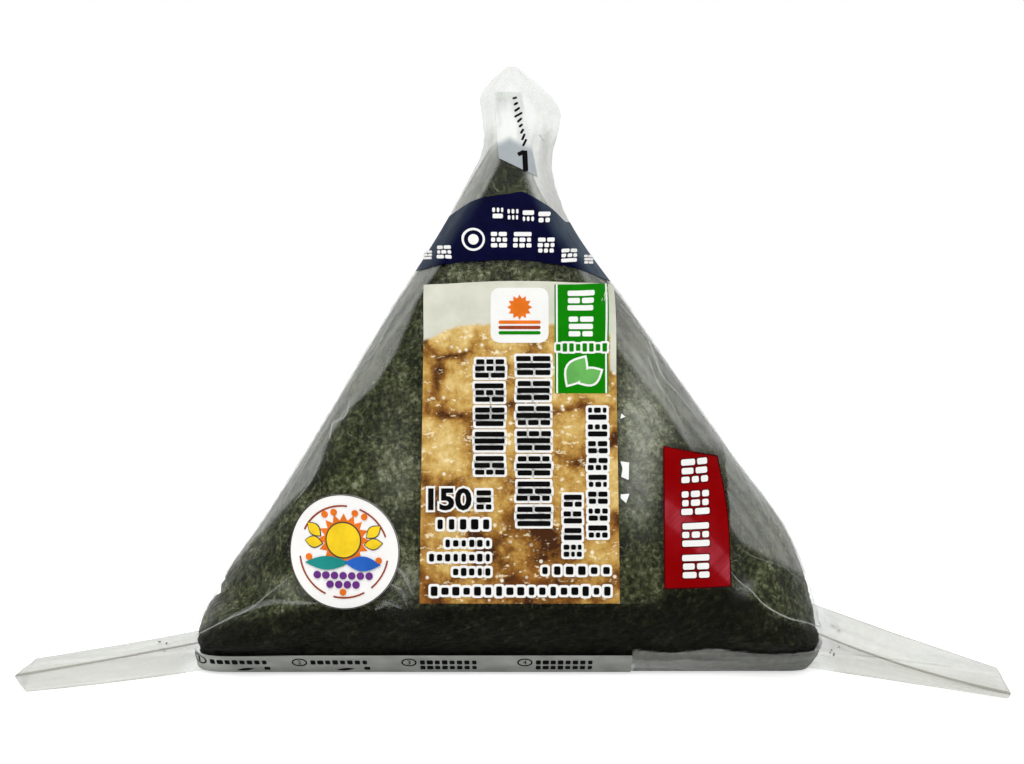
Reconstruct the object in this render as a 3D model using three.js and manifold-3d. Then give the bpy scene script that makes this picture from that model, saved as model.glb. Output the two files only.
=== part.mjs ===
// A triangular rice ball in dried seaweed, sealed in a clear film pack that stands on its base.
// Millimetres, +Z up. The front face looks along -Y, and the origin is the middle of the flat base.

import * as THREE from 'three'
import { mergeVertices } from 'three/addons/utils/BufferGeometryUtils.js'
import Module from 'manifold-3d'

const wasm = await Module()
wasm.setup()

// Driving dimensions: the pack
const BASE_HALF_WIDTH = 51 // widest place, at the base corners
const PACK_HEIGHT = 95 // base to the tip of the film's top fin
const HALF_DEPTH = 18 // middle plane to the front ridge
const BASE_HALF_DEPTH = 8.6 // middle plane to the line where the front meets the floor
const RIDGE_HEIGHT = 13.6 // where the undercut foot turns into the leaning face
const CORNER_DROP = 9.4 // how far the ridge comes down on its way to a corner
const DROP_STARTS = 0.62 // share of the half width where the ridge begins to come down
const DROP_SPAN = [3, 8] // heights over which that drop sets in, above a straight foot
const FOOT_TOP = 20 // rings are close together below this
const FIN_BOTTOM = 82 // and above this, where the film closes to a flat fin

// Driving dimensions: the film ears at both base corners
const EAR_LIFT = 0.25 // underside of an ear above the floor
const EAR_EDGE = 0.9 // height of an ear's closed outer end
const EAR_STEPS = 8

// Driving dimensions: what lies on the film. A pair is a value at the bottom and one at the top.
const SKIN_GAP = 0.35
const STICKER_THICKNESS = 0.5
const PRINT_THICKNESS = 0.35
const LABEL = { bottom: 13.2, top: 60.4, bow: 0.7, left: [-13.8, -13.3], right: [16.1, 15.6] }
const ROUND_STICKER = { x: -25.2, z: 20.6, radius: 8.4 }
const BAND_REACH = 0.955 // share of the half width that the band covers, left and right
const PANEL = { bottom: 15.2, topLeft: 36.3, topRight: 34.2, left: 22.7 }
const TAB = { lowerLeft: 80.2, lowerRight: 77.3, top: 91, middle: [0.9, -0.6], halfWidth: [2.9, 2.1] }

// How finely the shapes are divided
const RING_SIDES = 52
const FOOT_STEP = 1.4
const FACE_STEP = 4
const FIN_STEP = 1.6

// A smooth curve through [at, value] pairs that never overshoots them
function profile(pairs) {
  const at = pairs.map((pair) => pair[0])
  const value = pairs.map((pair) => pair[1])
  const rise = at.slice(1).map((next, i) => (value[i + 1] - value[i]) / (next - at[i]))
  const slope = at.map((_, i) => {
    const before = rise[Math.max(i - 1, 0)]
    const after = rise[Math.min(i, rise.length - 1)]
    return before * after <= 0 ? 0 : (2 * before * after) / (before + after)
  })
  return (where) => {
    let i = 0
    while (i < at.length - 2 && where > at[i + 1]) i += 1
    const width = at[i + 1] - at[i]
    const t = THREE.MathUtils.clamp((where - at[i]) / width, 0, 1)
    const s = 1 - t
    const ends = value[i] * (1 + 2 * t) * s * s + value[i + 1] * (3 - 2 * t) * t * t
    return ends + width * (slope[i] * t * s * s - slope[i + 1] * s * t * t)
  }
}

// The outline of the pack seen from the front, left and right of the middle, by height.
// The left edge is nearly straight and the right one bulges near the base.
const leftHalfWidth = profile([
  [0, BASE_HALF_WIDTH - 0.6],
  [4, BASE_HALF_WIDTH - 0.4],
  [7.5, BASE_HALF_WIDTH - 0.9],
  [11, 48],
  [14, 46.5],
  [22.5, 40.5],
  [32, 34.4],
  [53.4, 21.4],
  [75.5, 7.8],
  [84, 4.3],
  [90, 4.9],
  [93.2, 2.9],
  [PACK_HEIGHT, 0.7],
])
const rightHalfWidth = profile([
  [0, BASE_HALF_WIDTH - 3],
  [4, BASE_HALF_WIDTH - 1.6],
  [7.5, BASE_HALF_WIDTH - 1.8],
  [19, 45.6],
  [33, 35.8],
  [55.6, 19.8],
  [73.7, 7.7],
  [80, 6.2],
  [87.8, 7.6],
  [92.5, 3.8],
  [PACK_HEIGHT, 0.7],
])

// Half the thickness by height: an undercut foot, a firm ridge, a leaning face and the flat fin
const halfDepth = profile([
  [0, BASE_HALF_DEPTH],
  [3.5, 11.8],
  [10, 17],
  [RIDGE_HEIGHT, HALF_DEPTH],
  [18, 17.5],
  [40, 14.3],
  [61, 10.4],
  [75, 6.2],
  [84, 2.7],
  [88, 1.2],
  [PACK_HEIGHT, 0.6],
])

// How squarely a level section fills its box: 2 is an ellipse, more is squarer
const squareness = profile([
  [0, 40],
  [4, 26],
  [8, 9],
  [RIDGE_HEIGHT, 4.6],
  [22, 5],
  [40, 7],
  [58, 9],
  [64, 7.5],
  [75, 3.5],
  [PACK_HEIGHT, 2.2],
])

function halfWidth(x, z) {
  return x < 0 ? leftHalfWidth(z) : rightHalfWidth(z)
}

// Distance of the skin from the middle plane, at a share of the half width and a height
function depthAtShare(share, z) {
  const { smoothstep } = THREE.MathUtils
  const drop = CORNER_DROP * smoothstep(share, DROP_STARTS, 1) * smoothstep(z, ...DROP_SPAN)
  const round = Math.sqrt(Math.max(0, 1 - share ** squareness(z)))
  return halfDepth(Math.min(z + drop, PACK_HEIGHT)) * round
}

function frontDepth(x, z) {
  return depthAtShare(Math.min(Math.abs(x) / halfWidth(x, z), 1), z)
}

function solidFrom(vertices, faces) {
  const geometry = new THREE.BufferGeometry()
  geometry.setAttribute('position', new THREE.Float32BufferAttribute(vertices.flat(), 3))
  geometry.setIndex(faces.flat())
  const merged = mergeVertices(geometry, 1e-4)
  return new wasm.Manifold(
    new wasm.Mesh({
      numProp: 3,
      vertProperties: new Float32Array(merged.attributes.position.array),
      triVerts: new Uint32Array(merged.index.array),
    }),
  )
}

function geometryFrom(solid) {
  const mesh = solid.getMesh()
  const geometry = new THREE.BufferGeometry()
  geometry.setAttribute('position', new THREE.BufferAttribute(mesh.vertProperties, 3))
  geometry.setIndex(new THREE.BufferAttribute(mesh.triVerts, 1))
  return geometry
}

// A closed solid through a stack of rings, each a list of points with the same count.
// Seen against the stacking direction, the points run anticlockwise.
function loft(rings) {
  const sides = rings[0].length
  const vertices = rings.flat()
  const faces = []
  for (let r = 0; r < rings.length - 1; r += 1) {
    for (let k = 0; k < sides; k += 1) {
      const a = r * sides + k
      const b = r * sides + ((k + 1) % sides)
      faces.push([a, b, b + sides], [a, b + sides, a + sides])
    }
  }
  for (const [ring, last] of [[0, false], [rings.length - 1, true]]) {
    const middle = vertices.length
    const sum = rings[ring].reduce((total, p) => total.map((v, i) => v + p[i]), [0, 0, 0])
    vertices.push(sum.map((v) => v / sides))
    for (let k = 0; k < sides; k += 1) {
      const a = ring * sides + k
      const b = ring * sides + ((k + 1) % sides)
      faces.push(last ? [a, b, middle] : [b, a, middle])
    }
  }
  return solidFrom(vertices, faces)
}

function steps(from, to, step) {
  const count = Math.round((to - from) / step)
  return Array.from({ length: count }, (_, i) => from + ((to - from) * i) / count)
}

// The body with its top fin: level sections from the flat base to the fin's tip
function packBody() {
  const levels = [
    ...steps(0, FOOT_TOP, FOOT_STEP),
    ...steps(FOOT_TOP, FIN_BOTTOM, FACE_STEP),
    ...steps(FIN_BOTTOM, PACK_HEIGHT, FIN_STEP),
    PACK_HEIGHT,
  ]
  return loft(
    levels.map((z) =>
      Array.from({ length: RING_SIDES }, (_, k) => {
        const turn = (2 * Math.PI * k) / RING_SIDES
        const share = Math.cos(turn)
        const depth = Math.sign(Math.sin(turn)) * depthAtShare(Math.abs(share), z)
        return [share * halfWidth(share, z), depth, z]
      }),
    ),
  )
}

// An ear is the film drawn out from a corner: upright where it leaves the body, then laid down
// towards the floor. Each edge is a curve given by its root, its control point and its tip.
const RIGHT_EAR = {
  floor: [[44, -6, EAR_LIFT], [60, -15, EAR_LIFT], [73.2, -21.9, EAR_LIFT]],
  ridge: [[44.5, -1.5, 6.3], [60, -11.5, 1.0], [73.4, -21.6, EAR_EDGE]],
  crest: [[44, 0.3, 10.6], [60, -3.7, 5.4], [77, -8.7, EAR_EDGE]],
  heel: [[44, 5, EAR_LIFT], [60, -1.5, EAR_LIFT], [76.9, -8.2, EAR_LIFT]],
}
const LEFT_EAR = {
  floor: [[-45, -7, EAR_LIFT], [-60, -16, EAR_LIFT], [-72.6, -20.1, EAR_LIFT]],
  ridge: [[-46, 0, 3.2], [-61, -7.5, 1.8], [-76.1, -14.4, EAR_EDGE]],
  crest: [[-45, 0.5, 5.3], [-61, -2.2, 2.7], [-77.2, -5.2, EAR_EDGE]],
  heel: [[-45, 5, EAR_LIFT], [-61, 0, EAR_LIFT], [-77.1, -4.7, EAR_LIFT]],
}

function filmEar(edges, mirrored) {
  const order = mirrored ? ['floor', 'ridge', 'crest', 'heel'] : ['heel', 'crest', 'ridge', 'floor']
  const curves = order.map((name) => {
    const [root, control, tip] = edges[name].map((point) => new THREE.Vector3(...point))
    return new THREE.QuadraticBezierCurve3(root, control, tip)
  })
  const section = (_, i) => curves.map((curve) => curve.getPoint(i / EAR_STEPS).toArray())
  return loft(Array.from({ length: EAR_STEPS + 1 }, section))
}

function filmPack() {
  return packBody().add(filmEar(RIGHT_EAR, false)).add(filmEar(LEFT_EAR, true))
}

// Half the distance over which the slope of the front face is taken
const PROBE = 0.05

// A thin solid that follows the front face at SKIN_GAP in front of it. place gives x and z for
// two shares from 0 to 1, left to right and bottom to top.
function skin(columns, rows, thickness, place) {
  const grid = (offset) => {
    const points = []
    for (let j = 0; j <= rows; j += 1) {
      for (let i = 0; i <= columns; i += 1) {
        const [x, z] = place(i / columns, j / rows)
        const slopeX = (frontDepth(x + PROBE, z) - frontDepth(x - PROBE, z)) / (2 * PROBE)
        const slopeZ = (frontDepth(x, z + PROBE) - frontDepth(x, z - PROBE)) / (2 * PROBE)
        const normal = new THREE.Vector3(-slopeX, -1, -slopeZ).normalize()
        points.push([x + normal.x * offset, -frontDepth(x, z) + normal.y * offset, z + normal.z * offset])
      }
    }
    return points
  }
  const vertices = [...grid(SKIN_GAP), ...grid(SKIN_GAP + thickness)]
  const front = (columns + 1) * (rows + 1)
  const at = (i, j) => j * (columns + 1) + i
  const faces = []
  for (let j = 0; j < rows; j += 1) {
    for (let i = 0; i < columns; i += 1) {
      const [a, b, c, d] = [at(i, j), at(i + 1, j), at(i + 1, j + 1), at(i, j + 1)]
      faces.push([a, c, b], [a, d, c])
      faces.push([front + a, front + b, front + c], [front + a, front + c, front + d])
    }
  }
  const rim = [
    ...Array.from({ length: columns }, (_, i) => at(i, 0)),
    ...Array.from({ length: rows }, (_, j) => at(columns, j)),
    ...Array.from({ length: columns }, (_, i) => at(columns - i, rows)),
    ...Array.from({ length: rows }, (_, j) => at(0, rows - j)),
  ]
  rim.forEach((a, i) => {
    const b = rim[(i + 1) % rim.length]
    faces.push([a, b, front + b], [a, front + b, front + a])
  })
  return solidFrom(vertices, faces)
}

const { lerp } = THREE.MathUtils

// The upright label in the middle of the front face, a little narrower at its top
function frontLabel() {
  return skin(16, 24, STICKER_THICKNESS, (s, t) => {
    const left = lerp(...LABEL.left, t)
    const right = lerp(...LABEL.right, t)
    const top = LABEL.top + LABEL.bow * Math.sin(Math.PI * s)
    return [lerp(left, right, s), lerp(LABEL.bottom, top, t)]
  })
}

// The round sticker, lower left. A square grid is drawn in to a disc.
function roundSticker() {
  return skin(14, 14, STICKER_THICKNESS, (s, t) => {
    const u = 2 * s - 1
    const v = 2 * t - 1
    return [
      ROUND_STICKER.x + ROUND_STICKER.radius * u * Math.sqrt(1 - (v * v) / 2),
      ROUND_STICKER.z + ROUND_STICKER.radius * v * Math.sqrt(1 - (u * u) / 2),
    ]
  })
}

// The dark band printed across the face above the label: the height of both its arched edges
const bandLowerEdge = profile([
  [-15.5, 62.4],
  [-9, 63.8],
  [0, 64.3],
  [7.6, 63.5],
  [15.2, 60.9],
])
const bandUpperEdge = profile([
  [-10, 71.1],
  [-4.5, 74],
  [0.5, 74.8],
  [2, 74.5],
  [6.3, 71.9],
  [8, 70.3],
])

// x depends on the height and the height on x, so a few passes settle both
function navyBand() {
  const passes = 8
  return skin(18, 7, PRINT_THICKNESS, (s, t) => {
    const share = lerp(-BAND_REACH, BAND_REACH, s)
    let x = 0
    let z = 0
    for (let pass = 0; pass < passes; pass += 1) {
      z = lerp(bandLowerEdge(x), bandUpperEdge(x), t)
      x = share * halfWidth(share, z)
    }
    return [x, z]
  })
}

// The red panel printed low on the right: its right edge follows the edge of the pack
const panelRightEdge = profile([
  [PANEL.bottom, 32.9],
  [24.9, 32.7],
  [28.7, 32.3],
  [PANEL.topRight, 31.4],
  [PANEL.topLeft, 31.1],
])

function redPanel() {
  return skin(8, 12, PRINT_THICKNESS, (s, t) => {
    const z = lerp(PANEL.bottom, lerp(PANEL.topLeft, PANEL.topRight, s), t)
    return [lerp(PANEL.left, panelRightEdge(z), s), z]
  })
}

// The tear tab that runs up from the seaweed's tip into the fin, cut off aslant at its lower end
function tearTab() {
  return skin(4, 10, PRINT_THICKNESS, (s, t) => {
    const across = lerp(-1, 1, s) * lerp(...TAB.halfWidth, t)
    return [lerp(...TAB.middle, t) + across, lerp(lerp(TAB.lowerLeft, TAB.lowerRight, s), TAB.top, t)]
  })
}

function finish(color, roughness) {
  return new THREE.MeshStandardMaterial({ color, roughness, metalness: 0 })
}

const pieces = {
  film_pack: [filmPack, finish(0x3c4230, 0.35)],
  front_label: [frontLabel, finish(0xc39a4c, 0.45)],
  round_sticker: [roundSticker, finish(0xf2eee6, 0.5)],
  navy_band: [navyBand, finish(0x06093a, 0.35)],
  red_panel: [redPanel, finish(0x9a0a0c, 0.35)],
  tear_tab: [tearTab, finish(0xaab2b4, 0.4)],
}

const riceBall = new THREE.Group()
for (const [name, [make, material]] of Object.entries(pieces)) {
  const mesh = new THREE.Mesh(geometryFrom(make()), material)
  mesh.name = name
  riceBall.add(mesh)
}

export default riceBall
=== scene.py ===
"""A triangular rice ball in dried seaweed, sealed in a clear film pack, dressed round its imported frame."""

import logging
import math
from dataclasses import dataclass
from enum import Enum
from typing import Callable, ClassVar, Iterable, Sequence

import bmesh
import bpy
import numpy as np
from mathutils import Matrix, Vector


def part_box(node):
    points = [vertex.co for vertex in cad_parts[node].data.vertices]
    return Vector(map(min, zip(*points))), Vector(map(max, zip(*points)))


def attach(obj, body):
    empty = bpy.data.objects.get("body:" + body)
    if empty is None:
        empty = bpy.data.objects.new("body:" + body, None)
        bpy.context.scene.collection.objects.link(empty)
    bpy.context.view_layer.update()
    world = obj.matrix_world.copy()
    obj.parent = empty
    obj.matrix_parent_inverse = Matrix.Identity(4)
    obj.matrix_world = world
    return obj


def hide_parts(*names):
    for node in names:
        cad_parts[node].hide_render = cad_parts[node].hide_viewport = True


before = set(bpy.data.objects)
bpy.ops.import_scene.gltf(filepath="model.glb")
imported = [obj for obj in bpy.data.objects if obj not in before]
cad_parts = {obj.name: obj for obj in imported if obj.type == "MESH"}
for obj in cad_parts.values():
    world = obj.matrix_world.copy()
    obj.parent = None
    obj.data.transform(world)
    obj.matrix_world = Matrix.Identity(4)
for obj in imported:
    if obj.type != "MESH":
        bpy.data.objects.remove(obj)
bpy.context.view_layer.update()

LOG = logging.getLogger("rice_ball")
MM = 0.001
TAU = 2 * math.pi
PROBE = 0.05

Array = np.ndarray
Piece = bpy.types.Object
Node = bpy.types.Node
Socket = bpy.types.NodeSocket
Material = bpy.types.Material
Triple = tuple[float, float, float]
Pair = tuple[float, float]
Pairs = Sequence[Pair]
Draw = np.random.Generator
Spots = tuple[Array, Array]
Shapes = list[Array]
Body = tuple[Array, list]


def linear(red: float, green: float, blue: float) -> tuple[float, float, float, float]:
    """Turns a screen colour with channels from 0 to 255 into the renderer's linear one."""
    shares = [channel / 255 for channel in (red, green, blue)]
    lit = [s / 12.92 if s <= 0.04045 else ((s + 0.055) / 1.055) ** 2.4 for s in shares]
    return (*lit, 1.0)


def ease(value: Array) -> Array:
    """Rises smoothly from 0 to 1 as the value goes from 0 to 1."""
    share = np.clip(value, 0, 1)
    return share * share * (3 - 2 * share)


def within(distance: Array, reach: Array | float, soft: float) -> Array:
    """Gives 1 up to the reach and fades to 0 over the soft distance beyond it."""
    return 1 - ease((distance - reach) / soft)


def between(start: float | Array, end: float | Array, share: Array) -> Array:
    """Runs straight from the start to the end as the share goes from 0 to 1."""
    return start + (end - start) * share


class Profile:
    """A smooth curve through pairs of place and value that never overshoots them."""

    def __init__(self, pairs: Pairs) -> None:
        """Works out the curve's slopes from its places, which rise, and their values."""
        self.at, self.value = np.array(pairs, float).T
        rise = np.diff(self.value) / np.diff(self.at)
        before = np.concatenate([rise[:1], rise])
        after = np.concatenate([rise, rise[-1:]])
        both = before * after
        total = np.where(before + after == 0, 1, before + after)
        self.slope = np.where(both <= 0, 0, 2 * both / total)

    def __call__(self, where: Array | float) -> Array:
        """Gives the curve's value at each place, held at its ends."""
        place = np.clip(where, self.at[0], self.at[-1])
        i = np.clip(np.searchsorted(self.at, place, side="right") - 1, 0, len(self.at) - 2)
        width = self.at[i + 1] - self.at[i]
        t = (place - self.at[i]) / width
        s = 1 - t
        ends = self.value[i] * (1 + 2 * t) * s * s + self.value[i + 1] * (3 - 2 * t) * t * t
        return ends + width * (self.slope[i] * t * s * s - self.slope[i + 1] * s * t * t)


class Ripples:
    """Gentle waves that run in many directions, the same on every run."""

    def __init__(self, seed: int, shortest: float, longest: float, count: int = 14) -> None:
        """Draws the waves.

        Args:
            seed: the seed of the draw.
            shortest: the shortest wave, in millimetres.
            longest: the longest wave, in millimetres.
            count: how many waves are laid over each other.
        """
        draw = np.random.default_rng(seed)
        turn = draw.uniform(0, TAU, count)
        length = np.exp(draw.uniform(math.log(shortest), math.log(longest), count))
        self.across = np.cos(turn) * TAU / length
        self.up = np.sin(turn) * TAU / length
        self.phase = draw.uniform(0, TAU, count)

    def __call__(self, x: Array, z: Array) -> Array:
        """Gives the height of the waves, about -1 to 1, at places on the face in millimetres."""
        total = np.zeros(np.broadcast(x, z).shape)
        for across, up, phase in zip(self.across, self.up, self.phase):
            total += np.sin(x * across + z * up + phase)
        return total / math.sqrt(2 * len(self.phase))


class PackForm:
    """The form of the filled pack, in millimetres, as its solid in the frame has it."""

    base_half_width = 51.0
    base_half_depth = 8.6
    ridge_height = 13.6
    corner_drop = 9.4
    drop_starts = 0.62
    drop_from = 3.0
    drop_full = 8.0

    def __init__(self) -> None:
        """Takes the height and the thickness from the frame and lays the curves through them."""
        lowest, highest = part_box("film_pack")
        self.height = (highest.z - lowest.z) / MM
        self.half_thickness = highest.y / MM
        wide, top = self.base_half_width, self.height
        self.left = Profile([
            (0, wide - 0.6), (4, wide - 0.4), (7.5, wide - 0.9), (11, 48), (14, 46.5), (22.5, 40.5),
            (32, 34.4), (53.4, 21.4), (75.5, 7.8), (84, 4.3), (90, 4.9), (93.2, 2.9), (top, 0.7),
        ])
        self.right = Profile([
            (0, wide - 3), (4, wide - 1.6), (7.5, wide - 1.8), (19, 45.6), (33, 35.8), (55.6, 19.8),
            (73.7, 7.7), (80, 6.2), (87.8, 7.6), (92.5, 3.8), (top, 0.7),
        ])
        self.half_depth = Profile([
            (0, self.base_half_depth), (3.5, 11.8), (10, 17), (self.ridge_height, self.half_thickness),
            (18, 17.5), (40, 14.3), (61, 10.4), (75, 6.2), (84, 2.7), (88, 1.2), (top, 0.6),
        ])
        self.squareness = Profile([
            (0, 40), (4, 26), (8, 9), (self.ridge_height, 4.6), (22, 5), (40, 7), (58, 9), (64, 7.5),
            (75, 3.5), (top, 2.2),
        ])
        self.foot_line = Profile([
            (-50, 6.2), (-44, 8.8), (-39.6, 10.2), (-35.7, 11.3), (-33, 11.8), (-29, 12.2), (-24, 12.6),
            (-16, 12.6), (0, 12.9), (20, 13.4), (24, 14.8), (32.5, 15.2), (34.5, 14.6), (37.7, 12.2),
            (42, 9.7), (49, 6.8),
        ])

    def half_width(self, side: Array, z: Array) -> Array:
        """Gives the outline's distance from the middle, on the left where side is negative."""
        return np.where(side < 0, self.left(z), self.right(z))

    def margin(self, x: Array, z: Array) -> Array:
        """Gives how far places on the face lie inside its outline."""
        return self.half_width(x, z) - np.abs(x)

    def drop(self, share: Array, z: Array) -> Array:
        """Says how far the ridge has come down at a share of the half width and a height."""
        outwards = ease((share - self.drop_starts) / (1 - self.drop_starts))
        return self.corner_drop * outwards * ease((z - self.drop_from) / (self.drop_full - self.drop_from))

    def foot(self, x: Array, z: Array) -> Array:
        """Says which places of the front lie in the dark foot, where the face turns under."""
        return within(z, self.foot_line(x) - 1.0, 1.5)

    def depth_at_share(self, share: Array, z: Array) -> Array:
        """Gives the skin's distance from the middle plane at a share of the half width."""
        rounding = np.sqrt(np.maximum(0, 1 - share ** self.squareness(z)))
        return self.half_depth(np.minimum(z + self.drop(share, z), self.height)) * rounding

    def front(self, x: Array, z: Array) -> Array:
        """Gives the front skin's distance from the middle plane."""
        share = np.minimum(np.abs(x) / self.half_width(x, z), 1)
        return self.depth_at_share(share, z)

    def on_front(self, x: Array, z: Array, lift: Array | float) -> Array:
        """Finds points that stand off the front face.

        Args:
            x: places across, in millimetres.
            z: heights, in millimetres.
            lift: how far each point stands off the face, along its normal.

        Returns:
            The points, one in each row, in millimetres.
        """
        slope_x = (self.front(x + PROBE, z) - self.front(x - PROBE, z)) / (2 * PROBE)
        slope_z = (self.front(x, z + PROBE) - self.front(x, z - PROBE)) / (2 * PROBE)
        length = np.sqrt(slope_x**2 + 1 + slope_z**2)
        return np.stack([
            x - slope_x / length * lift,
            -self.front(x, z) - lift / length,
            z - slope_z / length * lift,
        ], axis=-1)


def smooth_path(points: Sequence[Sequence[float]], count: int) -> Array:
    """Runs a smooth path through a few points.

    Args:
        points: the points that the path passes through.
        count: how many points the result has.

    Returns:
        The path's points, one in each row.
    """
    given = np.array(points, float)
    reach = np.concatenate([[0], np.cumsum(np.linalg.norm(np.diff(given, axis=0), axis=1))])
    stops = np.linspace(0, reach[-1], count)
    return np.stack([Profile(list(zip(reach, column)))(stops) for column in given.T], axis=-1)


def distance_to(path: Array, x: Array, z: Array) -> Array:
    """Gives each place's distance to a path on the face, in millimetres."""
    nearest = np.full(np.broadcast(x, z).shape, 1e9)
    for start, end in zip(path[:-1], path[1:]):
        run = end - start
        along = ((x - start[0]) * run[0] + (z - start[1]) * run[1]) / max(run @ run, 1e-9)
        along = np.clip(along, 0, 1)
        gap = np.hypot(x - start[0] - along * run[0], z - start[1] - along * run[1])
        nearest = np.minimum(nearest, gap)
    return nearest


def hump(x: Array, z: Array, across: float, up: float, wide: float, tall: float) -> Array:
    """Gives a soft round hump on the face: 1 at its middle, with a reach of its own on each axis."""
    return np.exp(-(((x - across) / wide) ** 2 + ((z - up) / tall) ** 2))


# Meshes


def new_object(name: str, data: bpy.types.ID) -> Piece:
    """Makes an object from a mesh, a text, a lamp or a camera and puts it in the scene."""
    made = bpy.data.objects.new(name, data)
    bpy.context.scene.collection.objects.link(made)
    return made


def settled(piece: Piece) -> bpy.types.Mesh:
    """Gives the plain mesh that an object comes to, with its modifier or its text worked out."""
    bpy.context.view_layer.update()
    seen = piece.evaluated_get(bpy.context.evaluated_depsgraph_get())
    return bpy.data.meshes.new_from_object(seen)


def make_piece(name: str, points: Array, faces: Iterable, smooth: bool = True) -> Piece:
    """Makes an object from points in millimetres and faces that point outwards."""
    mesh = bpy.data.meshes.new(name)
    mesh.from_pydata((np.asarray(points) * MM).tolist(), [], [tuple(map(int, face)) for face in faces])
    mesh.polygons.foreach_set("use_smooth", [smooth] * len(mesh.polygons))
    mesh.update()
    return new_object(name, mesh)


def vertices(piece: Piece) -> Array:
    """Gives a piece's points, in millimetres."""
    return np.array([vert.co for vert in piece.data.vertices]) / MM


def paint(piece: Piece, name: str, values: Array | float) -> None:
    """Keeps a number for every vertex of a piece, for its material to read."""
    layer = piece.data.attributes.new(name, "FLOAT", "POINT")
    flat = np.asarray(values, np.float32).ravel()
    layer.data.foreach_set("value", np.ascontiguousarray(np.broadcast_to(flat, len(layer.data))))


def dress(piece: Piece, finish: "Finish") -> None:
    """Gives a piece its only finish."""
    piece.data.materials.clear()
    piece.data.materials.append(finish.material())


def place(piece: Piece, slot: str, *stands_for: str) -> Piece:
    """Fixes a finished piece to the pack.

    Args:
        piece: the finished piece.
        slot: not used.
        stands_for: the nodes of the frame that it replaces.

    Returns:
        The same piece.
    """
    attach(piece, "root")
    if stands_for:
        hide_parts(*stands_for)
    piece.data.calc_loop_triangles()
    LOG.info("%s: %d triangles", piece.name, len(piece.data.loop_triangles))
    return piece


def complete(piece: Piece, finish: "Finish", slot: str, *stands_for: str, **painted: Array | float) -> Piece:
    """Paints, dresses and places a piece.

    Args:
        piece: the bare piece.
        finish: its finish.
        slot: not used.
        stands_for: the nodes of the frame that it replaces.
        painted: the numbers that the finish reads, one for each vertex or one for all.

    Returns:
        The same piece.
    """
    for name, values in painted.items():
        paint(piece, name, values)
    dress(piece, finish)
    return place(piece, slot, *stands_for)


def ring_body(rings: Array, cap_rings: int = 1) -> Body:
    """Closes a stack of rings into one body.

    Args:
        rings: points by ring, place round it and axis, anticlockwise seen from the stack's end.
        cap_rings: how many steps each end cap takes from its rim to its middle.

    Returns:
        The body's points and its faces.
    """
    count, sides = rings.shape[:2]
    stack = list(rings)
    for end, at_start in ((rings[0], True), (rings[-1], False)):
        middle = end.mean(axis=0)
        inner = [middle + (end - middle) * (1 - step / cap_rings) for step in range(1, cap_rings)]
        stack = inner[::-1] + stack if at_start else stack + inner
    points = np.concatenate([np.array(stack).reshape(-1, 3), [rings[0].mean(0)], [rings[-1].mean(0)]])
    around = np.arange(sides)
    after = (around + 1) % sides
    faces: list = []
    for level in range(len(stack) - 1):
        low, high = level * sides, (level + 1) * sides
        faces += np.stack([low + around, low + after, high + after, high + around], axis=1).tolist()
    last, first = (len(stack) - 1) * sides, len(points) - 2
    faces += [(after[k], k, first) for k in range(sides)]
    faces += [(last + k, last + after[k], first + 1) for k in range(sides)]
    return points, faces


def outward(rings: Array) -> Array:
    """Gives the normals of a stack of rings, from the run of its points."""
    around = np.roll(rings, -1, axis=1) - np.roll(rings, 1, axis=1)
    upward = np.gradient(rings, axis=0)
    normal = np.cross(around, upward)
    return normal / np.maximum(np.linalg.norm(normal, axis=-1, keepdims=True), 1e-9)


def grid_skin(low: Array, high: Array) -> Body:
    """Closes two like grids, one over the other, into a thin body.

    Args:
        low: the points of the side that faces the pack, by row, column and axis.
        high: the points of the side that shows.

    Returns:
        The body's points and its faces.
    """
    rows, columns = low.shape[:2]
    lift = rows * columns
    at = np.arange(lift).reshape(rows, columns)
    corners = [at[:-1, :-1], at[:-1, 1:], at[1:, 1:], at[1:, :-1]]
    front = np.stack([corner.ravel() + lift for corner in corners], axis=1)
    back = np.stack([corner.ravel() for corner in corners[::-1]], axis=1)
    rim = np.concatenate([at[0, :-1], at[:-1, -1], at[-1, :0:-1], at[:0:-1, 0]])
    ahead = np.roll(rim, -1)
    wall = np.stack([rim, ahead, ahead + lift, rim + lift], axis=1)
    points = np.concatenate([low.reshape(-1, 3), high.reshape(-1, 3)])
    return points, [*front.tolist(), *back.tolist(), *wall.tolist()]


def laid(u: Array, v: Array, x: float, z: float, tilt: float) -> Array:
    """Tilts the points of an outline about their own middle and lays that middle at a place."""
    cos, sin = math.cos(tilt), math.sin(tilt)
    return np.stack([x + u * cos - v * sin, z + u * sin + v * cos], axis=1)


def rounded_bar(x: float, z: float, width: float, height: float, corner: float, tilt: float = 0) -> Array:
    """Draws a bar with rounded corners as an anticlockwise outline round its middle."""
    radius = min(corner, width / 2, height / 2)
    points = []
    for quarter, (side, level) in enumerate([(1, 1), (-1, 1), (-1, -1), (1, -1)]):
        for step in range(4):
            turn = (quarter + step / 3) * math.pi / 2
            points.append((
                side * (width / 2 - radius) + radius * math.cos(turn),
                level * (height / 2 - radius) + radius * math.sin(turn),
            ))
    return laid(*np.array(points).T, x, z, tilt)


def finer(outline: Array, spacing: float = 0.8) -> Array:
    """Adds points along an outline's longer edges, so that it can follow a curved face."""
    parts = []
    for start, end in zip(outline, np.roll(outline, -1, axis=0)):
        count = max(math.ceil(math.hypot(*(end - start)) / spacing), 1)
        parts.append(start + (end - start) * np.arange(count)[:, None] / count)
    return np.concatenate(parts)


def oval(x: float, z: float, across: float | Array, up: float | Array, sides: int = 32) -> Array:
    """Draws an oval as an anticlockwise outline, from its two radii."""
    turn = np.arange(sides) * TAU / sides
    return np.stack([x + across * np.cos(turn), z + up * np.sin(turn)], axis=1)


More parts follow.
